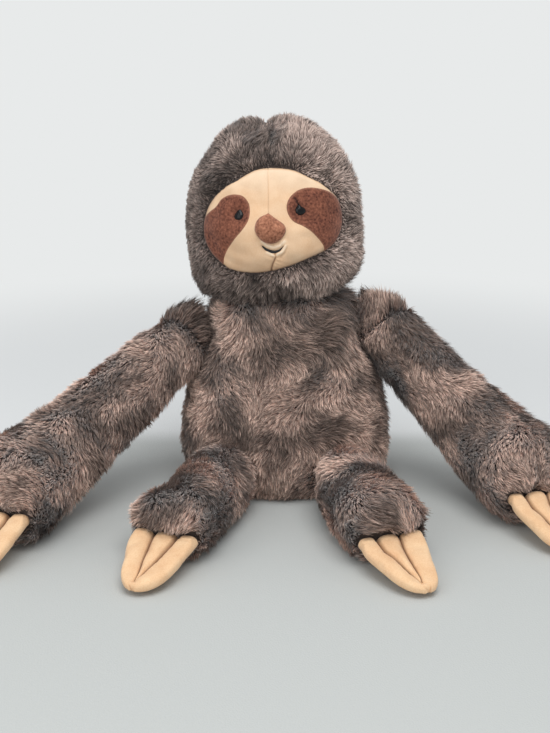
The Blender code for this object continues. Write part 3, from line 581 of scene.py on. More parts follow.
# %% The pile's node tree
def pile_tree():
    """Geometry Nodes group that grows a pile of tufts on a combed skin."""
    tree, given = new_tree(
        "pile", "Pile", ("Cloth", "Geometry", None), ("Zone", "Int", 0), ("Tufts per square metre", "Float", 1.0e6),
        ("Pile length", "Float", 0.0098), ("Tuft width", "Float", 0.0008), ("Wisp spacing", "Float", 0.0030),
        ("Wisp pull", "Float", 0.8), ("Seed", "Int", 11), ("Fur", "Material", None))
    known = {"tufts": given["Tufts per square metre"], "length": given["Pile length"], "width": given["Tuft width"],
             "spacing": given["Wisp spacing"], "pull": given["Wisp pull"],
             "place": add(tree, "GeometryNodeInputPosition").outputs[0]}
    for names, kind in ((("zone",), "INT"), (("t", "side", "pile"), "FLOAT"),
                        (("root", "up", "comb", "luck", "to_middle", "wisp", "cell"), "FLOAT_VECTOR")):
        for name in names:
            known[name] = add(tree, "GeometryNodeInputNamedAttribute", {"Name": name}, data_type=kind).outputs[0]

    # Scatter: roots only where the zone asks for them, and none where the pile is shorn
    here = add(tree, "FunctionNodeCompare", {2: known["zone"], 3: given["Zone"]}, data_type="INT", operation="EQUAL")
    sums(tree, "ShaderNodeMath", known, (
        ("grown", "GREATER_THAN", "pile", 0.1), ("density", "MULTIPLY", "tufts", "grown"),
        ("finer", "DIVIDE", 1.0, "spacing")))
    scatter = add(tree, "GeometryNodeDistributePointsOnFaces", {
        "Mesh": given["Cloth"], "Selection": here, "Density": known["density"], "Seed": given["Seed"]}).outputs

    # What each root remembers: its place, the cloth's normal, luck of its own and its wisp's middle
    wisps = add(tree, "ShaderNodeTexVoronoi", {"Vector": known["place"], "Scale": known["finer"]}).outputs
    to_middle = add(tree, "ShaderNodeVectorMath", {0: wisps["Position"], 1: known["place"]}, operation="SUBTRACT")
    luck = add(tree, "FunctionNodeRandomValue", {0: (-1, -1, -1), 1: (1, 1, 1), "Seed": 5},
               data_type="FLOAT_VECTOR")
    points = scatter["Points"]
    for name, value in (("root", known["place"]), ("up", scatter["Normal"]), ("luck", luck),
                        ("to_middle", to_middle), ("wisp", wisps["Color"])):
        points = add(tree, "GeometryNodeStoreNamedAttribute", {"Geometry": points, "Name": name, "Value": value},
                     data_type="FLOAT_VECTOR", domain="POINT")

    # One blade: a strip of two faces whose far end is drawn to a point
    blade = add(tree, "GeometryNodeMeshGrid", {"Size X": 1.0, "Size Y": 1.0, "Vertices X": 2, "Vertices Y": 3})
    known["strip_x"], known["strip_y"], _ = add(tree, "ShaderNodeSeparateXYZ", {0: known["place"]}).outputs
    sums(tree, "ShaderNodeMath", known, (
        ("t_of", "ADD", "strip_y", 0.5), ("below_tip", "LESS_THAN", "t_of", 0.99),
        ("strip_side", "MULTIPLY", "strip_x", 2.0), ("side_of", "MULTIPLY", "strip_side", "below_tip")))
    for name in ("t", "side"):
        blade = add(tree, "GeometryNodeStoreNamedAttribute",
                    {"Geometry": blade, "Name": name, "Value": known[name + "_of"]}, data_type="FLOAT", domain="POINT")
    pointed = add(tree, "ShaderNodeCombineXYZ", {0: known["side"], 1: known["t"]})
    blade = add(tree, "GeometryNodeSetPosition", {"Geometry": blade, "Position": pointed})
    blade = add(tree, "GeometryNodeMergeByDistance", {"Geometry": blade, "Distance": 0.001})

    # A blade on each root, numbered so that it can have its own cell of the map
    blades = add(tree, "GeometryNodeInstanceOnPoints", {"Points": points, "Instance": blade})
    known["count"] = add(tree, "GeometryNodeAttributeDomainSize", {"Geometry": blades},
                         component="INSTANCES").outputs["Instance Count"]
    known["number"] = add(tree, "GeometryNodeInputIndex").outputs[0]
    sums(tree, "ShaderNodeMath", known, (
        ("count_root", "SQRT", "count"), ("wide", "CEIL", "count_root"),
        ("column", "FLOORED_MODULO", "number", "wide"), ("row_share", "DIVIDE", "number", "wide"),
        ("row", "FLOOR", "row_share")))
    cell = add(tree, "ShaderNodeCombineXYZ", {0: known["column"], 1: known["row"]})
    blades = add(tree, "GeometryNodeStoreNamedAttribute", {"Geometry": blades, "Name": "cell", "Value": cell},
                 data_type="FLOAT_VECTOR", domain="INSTANCE")
    blades = add(tree, "GeometryNodeRealizeInstances", {"Geometry": blades})

    # Bend every blade: it rises and lies over, is drawn to its wisp, strays by luck and narrows to its tip
    known["luck_x"], _, known["luck_z"] = add(tree, "ShaderNodeSeparateXYZ", {0: known["luck"]}).outputs
    known["wisp_x"] = add(tree, "ShaderNodeSeparateXYZ", {0: known["wisp"]}).outputs[0]
    sums(tree, "ShaderNodeMath", known, (
        ("t2", "MULTIPLY", "t", "t"),
        ("l1", "MULTIPLY", "length", "pile"), ("l2", "MULTIPLY_ADD", "luck_x", 0.22, 0.9),
        ("l3", "MULTIPLY", "l1", "l2"),
        ("stand", "MULTIPLY_ADD", "wisp_x", 0.36, 0.34), ("rise1", "MULTIPLY_ADD", "t2", -0.55, 0.0),
        ("rise2", "MULTIPLY_ADD", "t", 1.55, "rise1"), ("rise3", "MULTIPLY", "rise2", "stand"),
        ("rise", "MULTIPLY", "rise3", "l3"),
        ("lie1", "MULTIPLY_ADD", "t2", 0.45, 0.0), ("lie2", "MULTIPLY_ADD", "t", 0.30, "lie1"),
        ("lie", "MULTIPLY", "lie2", "l3"),
        ("draw", "MULTIPLY", "t2", "pull"),
        ("stray1", "MULTIPLY", "t", "l3"), ("stray", "MULTIPLY", "stray1", 0.17),
        ("half1", "MULTIPLY_ADD", "t2", -0.55, 1.0), ("half2", "MULTIPLY", "half1", "width"),
        ("half3", "MULTIPLY", "half2", "side"), ("half", "MULTIPLY", "half3", 0.5),
        ("tilt", "MULTIPLY", "luck_z", 0.75),
        ("in_u", "MULTIPLY_ADD", "side", 0.42, 0.5), ("in_v", "MULTIPLY_ADD", "t", 0.84, 0.08),
        ("shrink", "DIVIDE", 1.0, "wide")))
    known["in_cell"] = add(tree, "ShaderNodeCombineXYZ", {0: known["in_u"], 1: known["in_v"]}).outputs[0]
    sums(tree, "ShaderNodeVectorMath", known, (
        ("up_share", "DOT_PRODUCT", "to_middle", "up"), ("upwards", "SCALE", "up", "up_share"),
        ("sideways", "SUBTRACT", "to_middle", "upwards"), ("drawn", "SCALE", "sideways", "draw"),
        ("risen", "SCALE", "up", "rise"), ("lain", "SCALE", "comb", "lie"), ("strayed", "SCALE", "luck", "stray"),
        ("p1", "ADD", "root", "risen"), ("p2", "ADD", "p1", "lain"), ("p3", "ADD", "p2", "drawn"),
        ("p4", "ADD", "p3", "strayed"),
        ("a1", "CROSS_PRODUCT", "comb", "up"), ("a2", "SCALE", "up", "tilt"), ("a3", "ADD", "a1", "a2"),
        ("across", "NORMALIZE", "a3"), ("edge", "SCALE", "across", "half"), ("bent", "ADD", "p4", "edge"),
        ("spot", "ADD", "cell", "in_cell"), ("map_place", "SCALE", "spot", "shrink")))
    x, y, z = add(tree, "ShaderNodeSeparateXYZ", {0: known["bent"]}).outputs
    off_floor = add(tree, "ShaderNodeMath", {0: z, 1: 0.0003}, operation="MAXIMUM")
    off_floor = add(tree, "ShaderNodeCombineXYZ", {0: x, 1: y, 2: off_floor})
    blades = add(tree, "GeometryNodeSetPosition", {"Geometry": blades, "Position": off_floor})
    blades = add(tree, "GeometryNodeStoreNamedAttribute",
                 {"Geometry": blades, "Name": "OFBake", "Value": known["map_place"]},
                 data_type="FLOAT2", domain="CORNER")
    blades = add(tree, "GeometryNodeSetShadeSmooth", {"Geometry": blades})
    blades = add(tree, "GeometryNodeSetMaterial", {"Geometry": blades, "Material": given["Fur"]})
    add(tree, "NodeGroupOutput", {0: blades})
    return tree


PILE = pile_tree()
print("pile tree has", len(PILE.nodes), "nodes")

# %% [markdown]
# ## Plush
# Long-pile plush is brushed polyester. Its roots sit in shadow and look nearly black-brown, and the root colour paints
# that shade; its tips are a pale taupe, and patches of pile that lean another way look lighter or darker, which is
# painted too. The blade's own attributes give all of this: `t` from root to tip, `luck` for single tufts, a quarter of
# them painted dark as shade in the gaps, and the tone with its painted light and shade for patches. It is rough, with a
# little sheen from the fibre ends.

# %% Plush materials
def plush(name, root, middle, tip, spread):
    """Brushed polyester pile, painted dark at the root as shade deep in the pile, and pale at the tip."""
    made, tree, shader = material(name, {"Roughness": 0.8, "Specular IOR Level": 0.2, "Sheen Weight": 0.5,
                                         "Sheen Roughness": 0.5})
    read = {field: add(tree, "ShaderNodeAttribute", attribute_name=field).outputs
            for field in ("t", "tone_and_shade", "luck", "wisp")}
    # The dark root colour is painted shade deep in the pile
    colours = add(tree, "ShaderNodeValToRGB", {0: read["t"]["Fac"]})
    stops = colours.color_ramp.elements
    stops.new(0.4)
    for stop, along, colour in zip(stops, (0.1, 0.4, 0.8), (root, middle, tip)):
        stop.position, stop.color = along, linear(colour)
    luck, wisp = (add(tree, "ShaderNodeSeparateXYZ", {0: read[field]["Vector"]}).outputs[1]
                  for field in ("luck", "wisp"))
    shade = add(tree, "ShaderNodeMath", {0: wisp, 1: 0.25, 2: 0.2}, operation="MULTIPLY_ADD")
    shade = add(tree, "ShaderNodeMath", {0: read["tone_and_shade"]["Fac"], 1: spread, 2: shade}, operation="MULTIPLY_ADD")
    # A quarter of the strands, at random, are painted dark as shade, which draws the fine black gaps between pale ones
    strand_shade = add(tree, "ShaderNodeMapRange", {0: luck, 1: -0.5, 2: 0.0, 3: 0.3, 4: 1.0})
    shade = add(tree, "ShaderNodeMath", {0: strand_shade, 1: shade}, operation="MULTIPLY", use_clamp=True)
    coloured = add(tree, "ShaderNodeVectorMath", {0: colours, "Scale": shade}, operation="SCALE")
    tree.links.new(coloured.outputs[0], shader.inputs["Base Color"])
    return made


# Root, middle and tip colours; the dark root is painted shade
BODY_PLUSH = plush("brushed_plush_body", "5C463D", "D2AA99", "FDDDCB", 0.75)
HEAD_PLUSH = plush("brushed_plush_head", "4E403B", "A88F84", "E1CABE", 0.66)
# The knitted backing, seen only deep between the tufts, painted as a dark ground of shade
SHADE_BACKING = flecked("plush_backing_shade", "2C2422", "4C413C", {"Scale": 900.0}, {"Roughness": 0.95})

# %% Grow the pile
def zones(obj, zone_of):
    """Gives every face of a skin the number of the fur piece that it carries."""
    values = [int(zone_of(face.center)) for face in obj.data.polygons]
    obj.data.attributes.new("zone", "INT", "FACE").data.foreach_set("value", values)


def grow(part, name, zone, fur, density, seed):
    """Grows the pile on one zone of a skin; the piece rides on the part's body."""
    wanted = {"Zone": zone, "Tufts per square metre": density, "Seed": seed, "Fur": fur}
    piece = grown(new_object(name, skins[part].data.copy()), PILE, wanted)
    for layer in list(piece.data.attributes):
        if layer.name in ("root", "up", "comb", "to_middle", "cell", "pile", "side", "zone"):
            piece.data.attributes.remove(layer)
    print(name, len(piece.data.polygons), "faces")
    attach(piece, part)


FULL, BACK = 1.5e6, 1.15e6  # tufts per square metre
zones(body_skin, lambda c: 2 if c.y > 0.01 else c.x <= 0)
zones(head_skin, lambda c: off_middle(c) <= 0)
grow("body", "body_front_left_pile", 0, BODY_PLUSH, FULL, 21)
grow("body", "body_front_right_pile", 1, BODY_PLUSH, FULL, 22)
grow("body", "body_back_pile", 2, BODY_PLUSH, BACK, 23)
grow("head", "head_left_pile", 0, HEAD_PLUSH, FULL, 24)
grow("head", "head_right_pile", 1, HEAD_PLUSH, FULL, 25)
for kind, side, root_joint, tip_joint in LIMBS:
    part, root, tip = f"{kind}_{side}", spot_of(root_joint), spot_of(tip_joint)
    middle, way = (root + tip) / 2, (tip - root).normalized()
    zones(skins[part], lambda c: kind == "arm" and (c - middle).dot(way) > 0)
    if kind == "arm":
        grow(part, f"{part}_upper_pile", 0, BODY_PLUSH, FULL, 31)
        grow(part, f"{part}_lower_pile", 1, BODY_PLUSH, FULL, 32)
    else:
        grow(part, f"{part}_pile", 0, BODY_PLUSH, FULL, 33)

# %% Skins ride on their bodies
def dress(obj, cloth, nodes, body):
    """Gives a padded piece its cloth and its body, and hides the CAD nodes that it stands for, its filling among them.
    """
    obj.data.materials.append(cloth)
    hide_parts(*nodes)
    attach(obj, body)


for part, (panels, within, _, _) in PARTS.items():
    if part == "body":
        nodes = panels + within
    elif part == "head":
        nodes = panels[:2] + within
    else:
        nodes = (within[0], *panels)
    # Each skin takes the dark backing, painted shade deep between the tufts
    dress(skins[part], SHADE_BACKING, nodes, part)

# %% [markdown]
# ## The cloth under the face
# Face, patches, nose and eyes all lie on the front of the head. Its surface is read once, as a smooth map of
# how far away it is along each line of sight, so that every piece can be drawn in picture pixels, laid on the
# head at its own height and stay on the head from every side.

# %% A smooth map of the head's front
MAP_STEP = 1.0
map_u = np.arange(194.0, 354.0, MAP_STEP)
map_v = np.arange(156.0, 288.0, MAP_STEP)
distance = np.array([[(head_tree.ray_cast(EYE_POINT, sight(u, v))[3] or np.nan) for u in map_u] for v in map_v])
print("lines of sight that miss the head:", int(np.isnan(distance).sum()))
for row in distance:
    # Beyond the head's edge the map goes on at the last distance that was met
    met = np.flatnonzero(~np.isnan(row))
    row[:] = np.interp(np.arange(len(row)), met, row[met])
kernel = np.exp(-0.5 * (np.arange(-7, 8) / 2.6) ** 2)
kernel /= kernel.sum()
for axis in (0, 1):
    padded_map = np.pad(distance, [(7, 7) if k == axis else (0, 0) for k in (0, 1)], mode="reflect",
                        reflect_type="odd")
    distance = np.apply_along_axis(lambda line: np.convolve(line, kernel, "valid"), axis, padded_map)


def base_points(uv):
    """Places on the smooth head surface for places in the picture."""
    u = np.clip((uv[:, 0] - map_u[0]) / MAP_STEP, 0, len(map_u) - 1.001)
    v = np.clip((uv[:, 1] - map_v[0]) / MAP_STEP, 0, len(map_v) - 1.001)
    i, j = v.astype(int), u.astype(int)
    a, b = v - i, u - j
    far = (distance[i, j] * (1 - a) * (1 - b) + distance[i + 1, j] * a * (1 - b)
           + distance[i, j + 1] * (1 - a) * b + distance[i + 1, j + 1] * a * b)
    way = (AHEAD + np.outer((uv[:, 0] - PICTURE[0] / 2) / FOCAL_PIXELS, RIGHT)
           - np.outer((uv[:, 1] - PICTURE[1] / 2) / FOCAL_PIXELS, UP))
    way /= np.linalg.norm(way, axis=1, keepdims=True)
    return np.array(EYE_POINT) + way * far[:, None]


def laid(uv, lift):
    """Places at a height in metres over the head's surface."""
    uv = np.asarray(uv, float)
    across = base_points(uv + (2, 0)) - base_points(uv - (2, 0))
    down = base_points(uv + (0, 2)) - base_points(uv - (0, 2))
    normal = np.cross(down, across)
    normal /= np.linalg.norm(normal, axis=1, keepdims=True)
    normal *= np.sign(-normal @ AHEAD)[:, None]
    return base_points(uv) + normal * np.asarray(lift)[:, None]


print("face depth", round(float(np.ptp(distance)) * 1000, 1), "mm over the map")

# %% [markdown]
# ## The relief of the face
# A stuffed face is never smooth. Stitches through the head pull the eyes in, the seam from brow to nose is a
# faint groove, the short one under the smile is deep and puckered, and the cloth swells round nose and lips.
# Each of these is one term of a height in millimetres over the head.

# %% Heights over the head
LINES = {
    "brow": ((268, 166.5), (268.4, 190), (268.6, 214), (270.5, 230)),
    "chin": ((274.6, 252), (275.5, 256.5), (274.5, 259.4), (272.9, 263), (271.7, 267.5), (271.4, 273), (271.4, 279)),
    "lid": ((295.2, 198.8), (297, 202.6), (299.6, 206.8)),
    "upper lip": ((262.6, 241.0), (266.6, 244.8), (273.4, 247.4), (280.0, 245.6), (284.2, 241.4)),
    "lower lip": ((267.6, 252.4), (274.6, 255.6), (281.2, 252.4), (285.4, 246)),
    "cheek": ((286.5, 247), (285, 252), (281, 256.5)),
    "smile": SMILE,
    "edge": face_loop,
}
# Ridges and grooves along the lines: height in millimetres and reach in pixels
RIDGES = {"brow": (-0.5, 1.1), "chin": (-0.8, 1.4), "smile": (-0.8, 1.7), "lid": (-0.9, 1.0), "cheek": (-0.5, 1.2),
          "upper lip": (0.9, 2.2), "lower lip": (0.9, 2.0)}
# Painted shade along the lines, in folds and seams and under the hood's edge, or a painted highlight on a ridge where
# it is below 0, and the reach in pixels
SHADE_AND_HIGHLIGHT_LINES = {"brow": (0.14, 0.7), "chin": (0.75, 0.9), "lid": (0.85, 1.0), "cheek": (0.25, 0.9), "edge": (0.6, 1.1),
         "smile": (0.25, 1.6), "upper lip": (-0.5, 1.6), "lower lip": (-0.6, 1.2)}


def along_lines(uv, table):
    """Sum of a soft ridge or groove along each line of a table."""
    return sum(size * np.exp(-(to_line(uv, LINES[name])[0] / reach) ** 2) for name, (size, reach) in table.items())


def bump(uv, middle, wide, high):
    """A soft round hill in the picture, 1 in its middle."""
    off = (uv - np.array(middle)) / (wide, high)
    return np.exp(-(off ** 2).sum(1))


def relief(uv):
    """Height of the face cloth over the head's surface, in millimetres."""
    uv = np.asarray(uv, float)
    edge, _ = to_line(uv, face_loop)
    edge = np.where(inside(uv, face_edge), edge, -edge)
    high = 1.6 - 1.5 * (1 - np.clip(edge / 6, 0, 1)) ** 2 - 3.0 * np.clip(-edge / 3, 0, 1)
    high += along_lines(uv, RIDGES)
    chin, share = to_line(uv, LINES["chin"])
    pucker = np.cos(share * 30 + 2.0 * np.arctan2(uv[:, 1] - 262, uv[:, 0] - 274)) * np.exp(-(chin / 9) ** 2)
    high += 0.30 * pucker * (1 - np.exp(-(chin / 2) ** 2))
    for middle in EYES.values():
        high -= 2.4 * bump(uv, middle, 7.5, 7.5)
    high += 0.8 * bump(uv, (245, 256), 14, 12) + 0.8 * bump(uv, (304, 246), 14, 11)
    high += 0.12 * np.sin(uv[:, 0] * 0.21 + 1.7 * np.sin(uv[:, 1] * 0.11)) * np.sin(uv[:, 1] * 0.17)
    return high


def shade_and_highlight_of_folds(uv):
    """From 1, painted shade deep in a fold or a seam, over 0 to -1, a painted highlight on a ridge."""
    depth = along_lines(uv, SHADE_AND_HIGHLIGHT_LINES)
    # Painted light from above: the lower face darker, the brow paler
    depth += 0.10 * np.clip((uv[:, 1] - 225) / 45, 0, 1) - 0.35 * np.clip((200 - uv[:, 1]) / 30, 0, 1)
    return np.clip(depth, -0.9, 0.9)


# %% [markdown]
# ## Sheets laid on the face
# A piece of cloth is a closed form: a front that follows the relief, an edge that rolls under and a back that
# sinks into the head. It is a grid of picture places with a height for each, and a second, lower grid behind.

# %% Closed cloth from a grid
def closed_form(name, bm, distance):
    """A new object from a bmesh whose doubles are merged and whose faces look outward."""
    bmesh.ops.remove_doubles(bm, verts=bm.verts, dist=distance)
    bmesh.ops.dissolve_degenerate(bm, dist=1e-6, edges=bm.edges)
    bmesh.ops.recalc_face_normals(bm, faces=bm.faces)
    return new_object(name, bm)


def cloth_piece(name, uv, lift, sink, closed_round=False, folds=None):
    """Closed piece from a grid of places (rows, columns, 2), with heights and sinks in millimetres."""
    rows, columns = uv.shape[:2]
    flat = uv.reshape(-1, 2)
    bm = bmesh.new()
    layer = bm.verts.layers.float.new("fold")
    front, back = [[[bm.verts.new(p) for p in row] for row in laid(flat, high.ravel() / 1000).reshape(rows, columns, 3)]
                   for high in (lift, sink)]
    if folds is not None:
        for vert, fold in zip((v for row in front for v in row), folds):
            vert[layer] = float(fold)
    for sheet, flip in ((front, False), (back, True)):
        for i in range(rows - 1):
            for j in range(columns if closed_round else columns - 1):
                k = (j + 1) % columns
                face = [sheet[i][j], sheet[i + 1][j], sheet[i + 1][k], sheet[i][k]]
                bm.faces.new(face[::-1] if flip else face)
    rim = [(rows - 1, j) for j in range(columns)]
    if not closed_round:
        rim = ([(0, j) for j in range(columns)] + [(i, columns - 1) for i in range(1, rows - 1)]
               + rim[::-1] + [(i, 0) for i in range(rows - 2, 0, -1)])
    for (i, j), (k, l) in zip(rim, rim[1:] + rim[:1]):
        bm.faces.new((front[i][j], front[k][l], back[k][l], back[i][j]))
    obj = closed_form(name, bm, 2e-5)
    obj.data.shade_smooth()
    print(name, len(obj.data.polygons), "faces")
    return obj


def round_grid(outline, middle, shares, sides):
    """Rings of places from the middle of an outline to its edge."""
    outline = spline(outline, sides, True)
    middle = np.array(middle, float)
    return middle + np.array(shares)[:, None, None] * (outline - middle)[None]


# %% Face cloth, two halves
def half_face(name, edge):
    """One half of the face, from the middle seam to the outer edge under the hood."""
    rows, columns = 150, 72
    seam = spline((*LINES["brow"][:3], (271, 232), (272.6, 244), *LINES["chin"]), rows, False)
    outer = spline(edge, rows, False)
    share = np.linspace(0, 1, columns) ** 1.15
    uv = seam[:, None] * (1 - share[None, :, None]) + outer[:, None] * share[None, :, None]
    flat = uv.reshape(-1, 2)
    lift = relief(flat).reshape(rows, columns)
    return cloth_piece(name, uv, lift, lift * 0 - 3.0, folds=shade_and_highlight_of_folds(flat))


wider = (face_edge - FACE_MIDDLE) * 1.06 + FACE_MIDDLE
start = int(np.argmin(np.linalg.norm(face_edge - (268, 168.9), axis=1)))
finish = int(np.argmin(np.linalg.norm(face_edge - (271.5, 270.6), axis=1)))
round_edge = np.roll(wider, -start, axis=0)
turn = (finish - start) % len(wider)
top, bottom = [LINES["brow"][0]], [LINES["chin"][-1]]
left_edge = np.vstack([top, round_edge[2:turn - 1], bottom])
right_edge = np.vstack([top, round_edge[:turn + 1:-1][1:-1], bottom])
face_left = half_face("face_left_cloth", left_edge)
face_right = half_face("face_right_cloth", right_edge)

# %% Eye patches, nose and eyes
RINGS = np.array([*np.linspace(0, 0.9, 31), 0.93, 0.955, 0.975, 0.99, 1.0])
rolled = np.clip((RINGS - 0.9) / 0.1, 0, 1)
patches, eyes = {}, {}
for side, outline in PATCH_OUTLINES.items():
    uv = round_grid(outline, PATCH_MIDDLES[side], RINGS, 180)
    flat = uv.reshape(-1, 2)
    high = relief(flat).reshape(uv.shape[:2])
    # Painted shade along the lid and round the eyes, and a painted highlight on the rolled rim
    folds = 0.9 * np.exp(-(to_line(flat, LINES["lid"])[0] / 0.9) ** 2)
    for middle in EYES.values():
        folds += 0.45 * bump(flat, middle, 6.5, 6.5)
    folds -= np.repeat(0.35 * np.clip((RINGS - 0.9) / 0.08, 0, 1), uv.shape[1])
    patches[side] = cloth_piece(f"eye_patch_{side}_cloth", uv, high + 0.15 + 0.5 * (1 - rolled ** 2.5)[:, None],
                                high - 1.2, True, folds)

rings = np.linspace(0, 1, 30) ** 0.8
uv = round_grid(NOSE_OUTLINE, NOSE_MIDDLE, rings, 120)
fuller = 0.62 + 0.38 * np.clip((uv[..., 1] - 213) / 17, 0, 1)
dome = (1 - rings[:, None] ** 2.4).clip(0) ** 0.62 * 8.2 * fuller
high = relief(uv.reshape(-1, 2)).reshape(uv.shape[:2])
nose = cloth_piece("nose_cloth", uv, high.mean() * 0.5 + high * 0.5 - 0.1 + dome, high * 0 - 2.0, True)
EYE_OUTLINES = {
    "right": ((239.9, 209), (242.8, 211.6), (243.9, 215.6), (242, 219.2), (238.6, 220.8), (235, 219.4),
              (234.4, 216), (236.4, 212.4)),
    "left": ((298.2, 204.2), (301.2, 206.4), (305, 208.8), (305.6, 212), (303, 214.8), (299.4, 215.6),
             (295.8, 213.6), (294.8, 209.8), (296.4, 206.6)),
}
for side, outline in EYE_OUTLINES.items():
    rings = np.linspace(0, 1, 14)
    uv = round_grid(outline, EYES[side], rings, 48)
    dimple = relief([EYES[side]])[0]
    dome = dimple + 0.6 + 2.6 * (1 - rings[:, None] ** 2).clip(0) ** 0.5 + 0 * uv[..., 0]
    eyes[side] = cloth_piece(f"eye_{side}_dome", uv, dome, dome * 0 + dimple - 3.0, True)

# %% [markdown]
# ## The smile
# The smile is a short row of black satin stitches, each laid at a slant beside the last, thicker towards the
# viewer's right. Geometry Nodes put one small thread at every step along the line, scaled by a width that the
# line carries.

# %% Short-pile cloth, thread and plastic
def velboa(name, colour, light, fold_shade, ridge_highlight, nap=0.35, speck=0.55, grain=950.0):
    """Short-pile velour: matt, with a fine nap, with painted shade in folds and a painted highlight on ridges."""
    made, tree, shader = material(name, {"Roughness": 0.85, "Specular IOR Level": 0.25, "Sheen Weight": 0.25,
                                         "Sheen Roughness": 0.4})
    place = add(tree, "ShaderNodeTexCoord").outputs["Object"]
    # A bundle of pile is about a millimetre wide, or two where the cloth is coarser; shading drifts over 15 mm
    fine = add(tree, "ShaderNodeTexNoise", {"Vector": place, "Scale": grain, "Detail": 2.0})
    cloud = add(tree, "ShaderNodeTexNoise", {"Vector": place, "Scale": 65.0, "Detail": 2.0})
    blend = add(tree, "ShaderNodeMath", {0: fine, 1: speck, 2: cloud}, operation="MULTIPLY_ADD")
    span = add(tree, "ShaderNodeMapRange", {0: blend, 1: 0.3 + speck * 0.3, 2: 0.7 + speck * 0.7})
    shown = add(tree, "ShaderNodeMix", {0: span, 6: linear(colour), 7: linear(light)}, data_type="RGBA").outputs[2]
    fold = add(tree, "ShaderNodeAttribute", attribute_name="fold").outputs["Fac"]
    highlight_share = add(tree, "ShaderNodeMath", {0: fold, 1: -1.0}, operation="MULTIPLY")
    # The fold attribute paints shade where it is above 0 and a highlight where it is below
    for share, towards in ((fold, fold_shade), (highlight_share, ridge_highlight)):
        shown = add(tree, "ShaderNodeMix", {0: share, 6: shown, 7: linear(towards)}, data_type="RGBA").outputs[2]
    bumped = add(tree, "ShaderNodeBump", {"Height": fine, "Strength": nap, "Distance": 0.0004})
    tree.links.new(shown, shader.inputs["Base Color"])
    tree.links.new(bumped.outputs[0], shader.inputs["Normal"])
    return made


# The third colour of each is painted shade in folds, the fourth a painted highlight on ridges
FACE_VELBOA = velboa("face_velboa", "DAB28C", "E6C6A4", "6E4A33", "F6EAD6")
PATCH_VELBOA = velboa("patch_velboa", "431E16", "99604A", "2A1410", "B4846C", 0.6, 2.4, 480.0)
NOSE_VELBOA = velboa("nose_velboa", "5E3120", "BA8064", "2F1710", "B4846C", 0.6, 2.4, 480.0)
CLAW_VELBOA = velboa("claw_velboa", "DDB086", "F0CEA6", "6E482F", "F3DDBB", 0.5, 0.9)
# Satin thread: black fibres with a soft gleam
SATIN = flecked("black_satin_thread", "0D0B0C", "1E1B1C", {"Scale": 2500.0}, {"Roughness": 0.4})

# Moulded black plastic: a small clear highlight, a little dulled by wear
EYE_PLASTIC, tree, shader = material("black_eye_plastic", {
    "Base Color": linear("0B0B0D"), "IOR": 1.46, "Specular IOR Level": 0.3})
place = add(tree, "ShaderNodeTexCoord").outputs["Object"]
wear = add(tree, "ShaderNodeTexNoise", {"Vector": place, "Scale": 600.0, "Detail": 4.0})
gloss = add(tree, "ShaderNodeMapRange", {0: wear, 1: 0.3, 2: 0.7, 3: 0.12, 4: 0.24})
tree.links.new(gloss.outputs[0], shader.inputs["Roughness"])

# %% Satin stitches
def stitch_tree():
    """Geometry Nodes group that lays slanting threads along a line of points."""
    tree, given = new_tree("satin_stitches", "Stitches", ("Line", "Geometry", None),
                           ("Thread radius", "Float", 0.00028), ("Thread", "Material", None))
    thread = add(tree, "GeometryNodeMeshUVSphere", {"Segments": 8, "Rings": 6, "Radius": 1.0})
    across = add(tree, "GeometryNodeInputNamedAttribute", {"Name": "across"}, data_type="FLOAT_VECTOR")
    reach = add(tree, "GeometryNodeInputNamedAttribute", {"Name": "reach"}, data_type="FLOAT")
    turned = add(tree, "FunctionNodeAlignRotationToVector", {"Vector": across}, axis="Z")
    size = add(tree, "ShaderNodeCombineXYZ", {0: given["Thread radius"], 1: given["Thread radius"], 2: reach})
    threads = add(tree, "GeometryNodeInstanceOnPoints", {
        "Points": given["Line"], "Instance": thread, "Rotation": turned, "Scale": size})
    threads = add(tree, "GeometryNodeRealizeInstances", {"Geometry": threads})
    threads = add(tree, "GeometryNodeSetShadeSmooth", {"Geometry": threads})
    threads = add(tree, "GeometryNodeSetMaterial", {"Geometry": threads, "Material": given["Thread"]})
    add(tree, "NodeGroupOutput", {0: threads})
    return tree


def unit(vectors):
    """Rows of vectors, each drawn to length one."""
    return vectors / np.linalg.norm(vectors, axis=1, keepdims=True)


STITCHES = 64
smile_places = spline(SMILE, STITCHES, False)
share = np.linspace(0, 1, STITCHES)
middle_line, above = (laid(smile_places + (0, up), (relief(smile_places) + 0.65) / 1000) for up in (0, -3))
slant = unit(unit(above - middle_line) + 0.45 * unit(np.gradient(middle_line, axis=0)))
reach = 0.0003 + 0.0015 * np.sin(np.clip(share + 0.03, 0, 1) * np.pi) ** 0.6 * (0.6 + 0.5 * share)
smile_line = bpy.data.meshes.new("smile_stitches")
smile_line.from_pydata([tuple(p) for p in middle_line], [], [])
smile_line.attributes.new("across", "FLOAT_VECTOR", "POINT").data.foreach_set("vector", slant.ravel())
smile_line.attributes.new("reach", "FLOAT", "POINT").data.foreach_set("value", reach)
smile = grown(new_object("smile_stitches", smile_line), stitch_tree(), {"Thread": SATIN})
print("smile", len(smile.data.polygons), "faces")

# %% Face pieces take their cloth and ride on the head
for obj, cloth, slot, node in (
        (face_left, FACE_VELBOA, "face_velboa", "face_left_panel"),
        (face_right, FACE_VELBOA, "face_velboa", "face_right_panel"),
        (patches["left"], PATCH_VELBOA, "patch_velboa", "eye_patch_left"),
        (patches["right"], PATCH_VELBOA, "patch_velboa", "eye_patch_right"),
        (nose, NOSE_VELBOA, "nose_velboa", "nose"),
        (eyes["left"], EYE_PLASTIC, "eye_plastic", "eye_left"),
        (eyes["right"], EYE_PLASTIC, "eye_plastic", "eye_right"),
        (smile, SATIN, "satin_thread", "mouth")):
    if not obj.data.materials:
        obj.data.materials.append(cloth)
    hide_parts(node)
    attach(obj, "head")

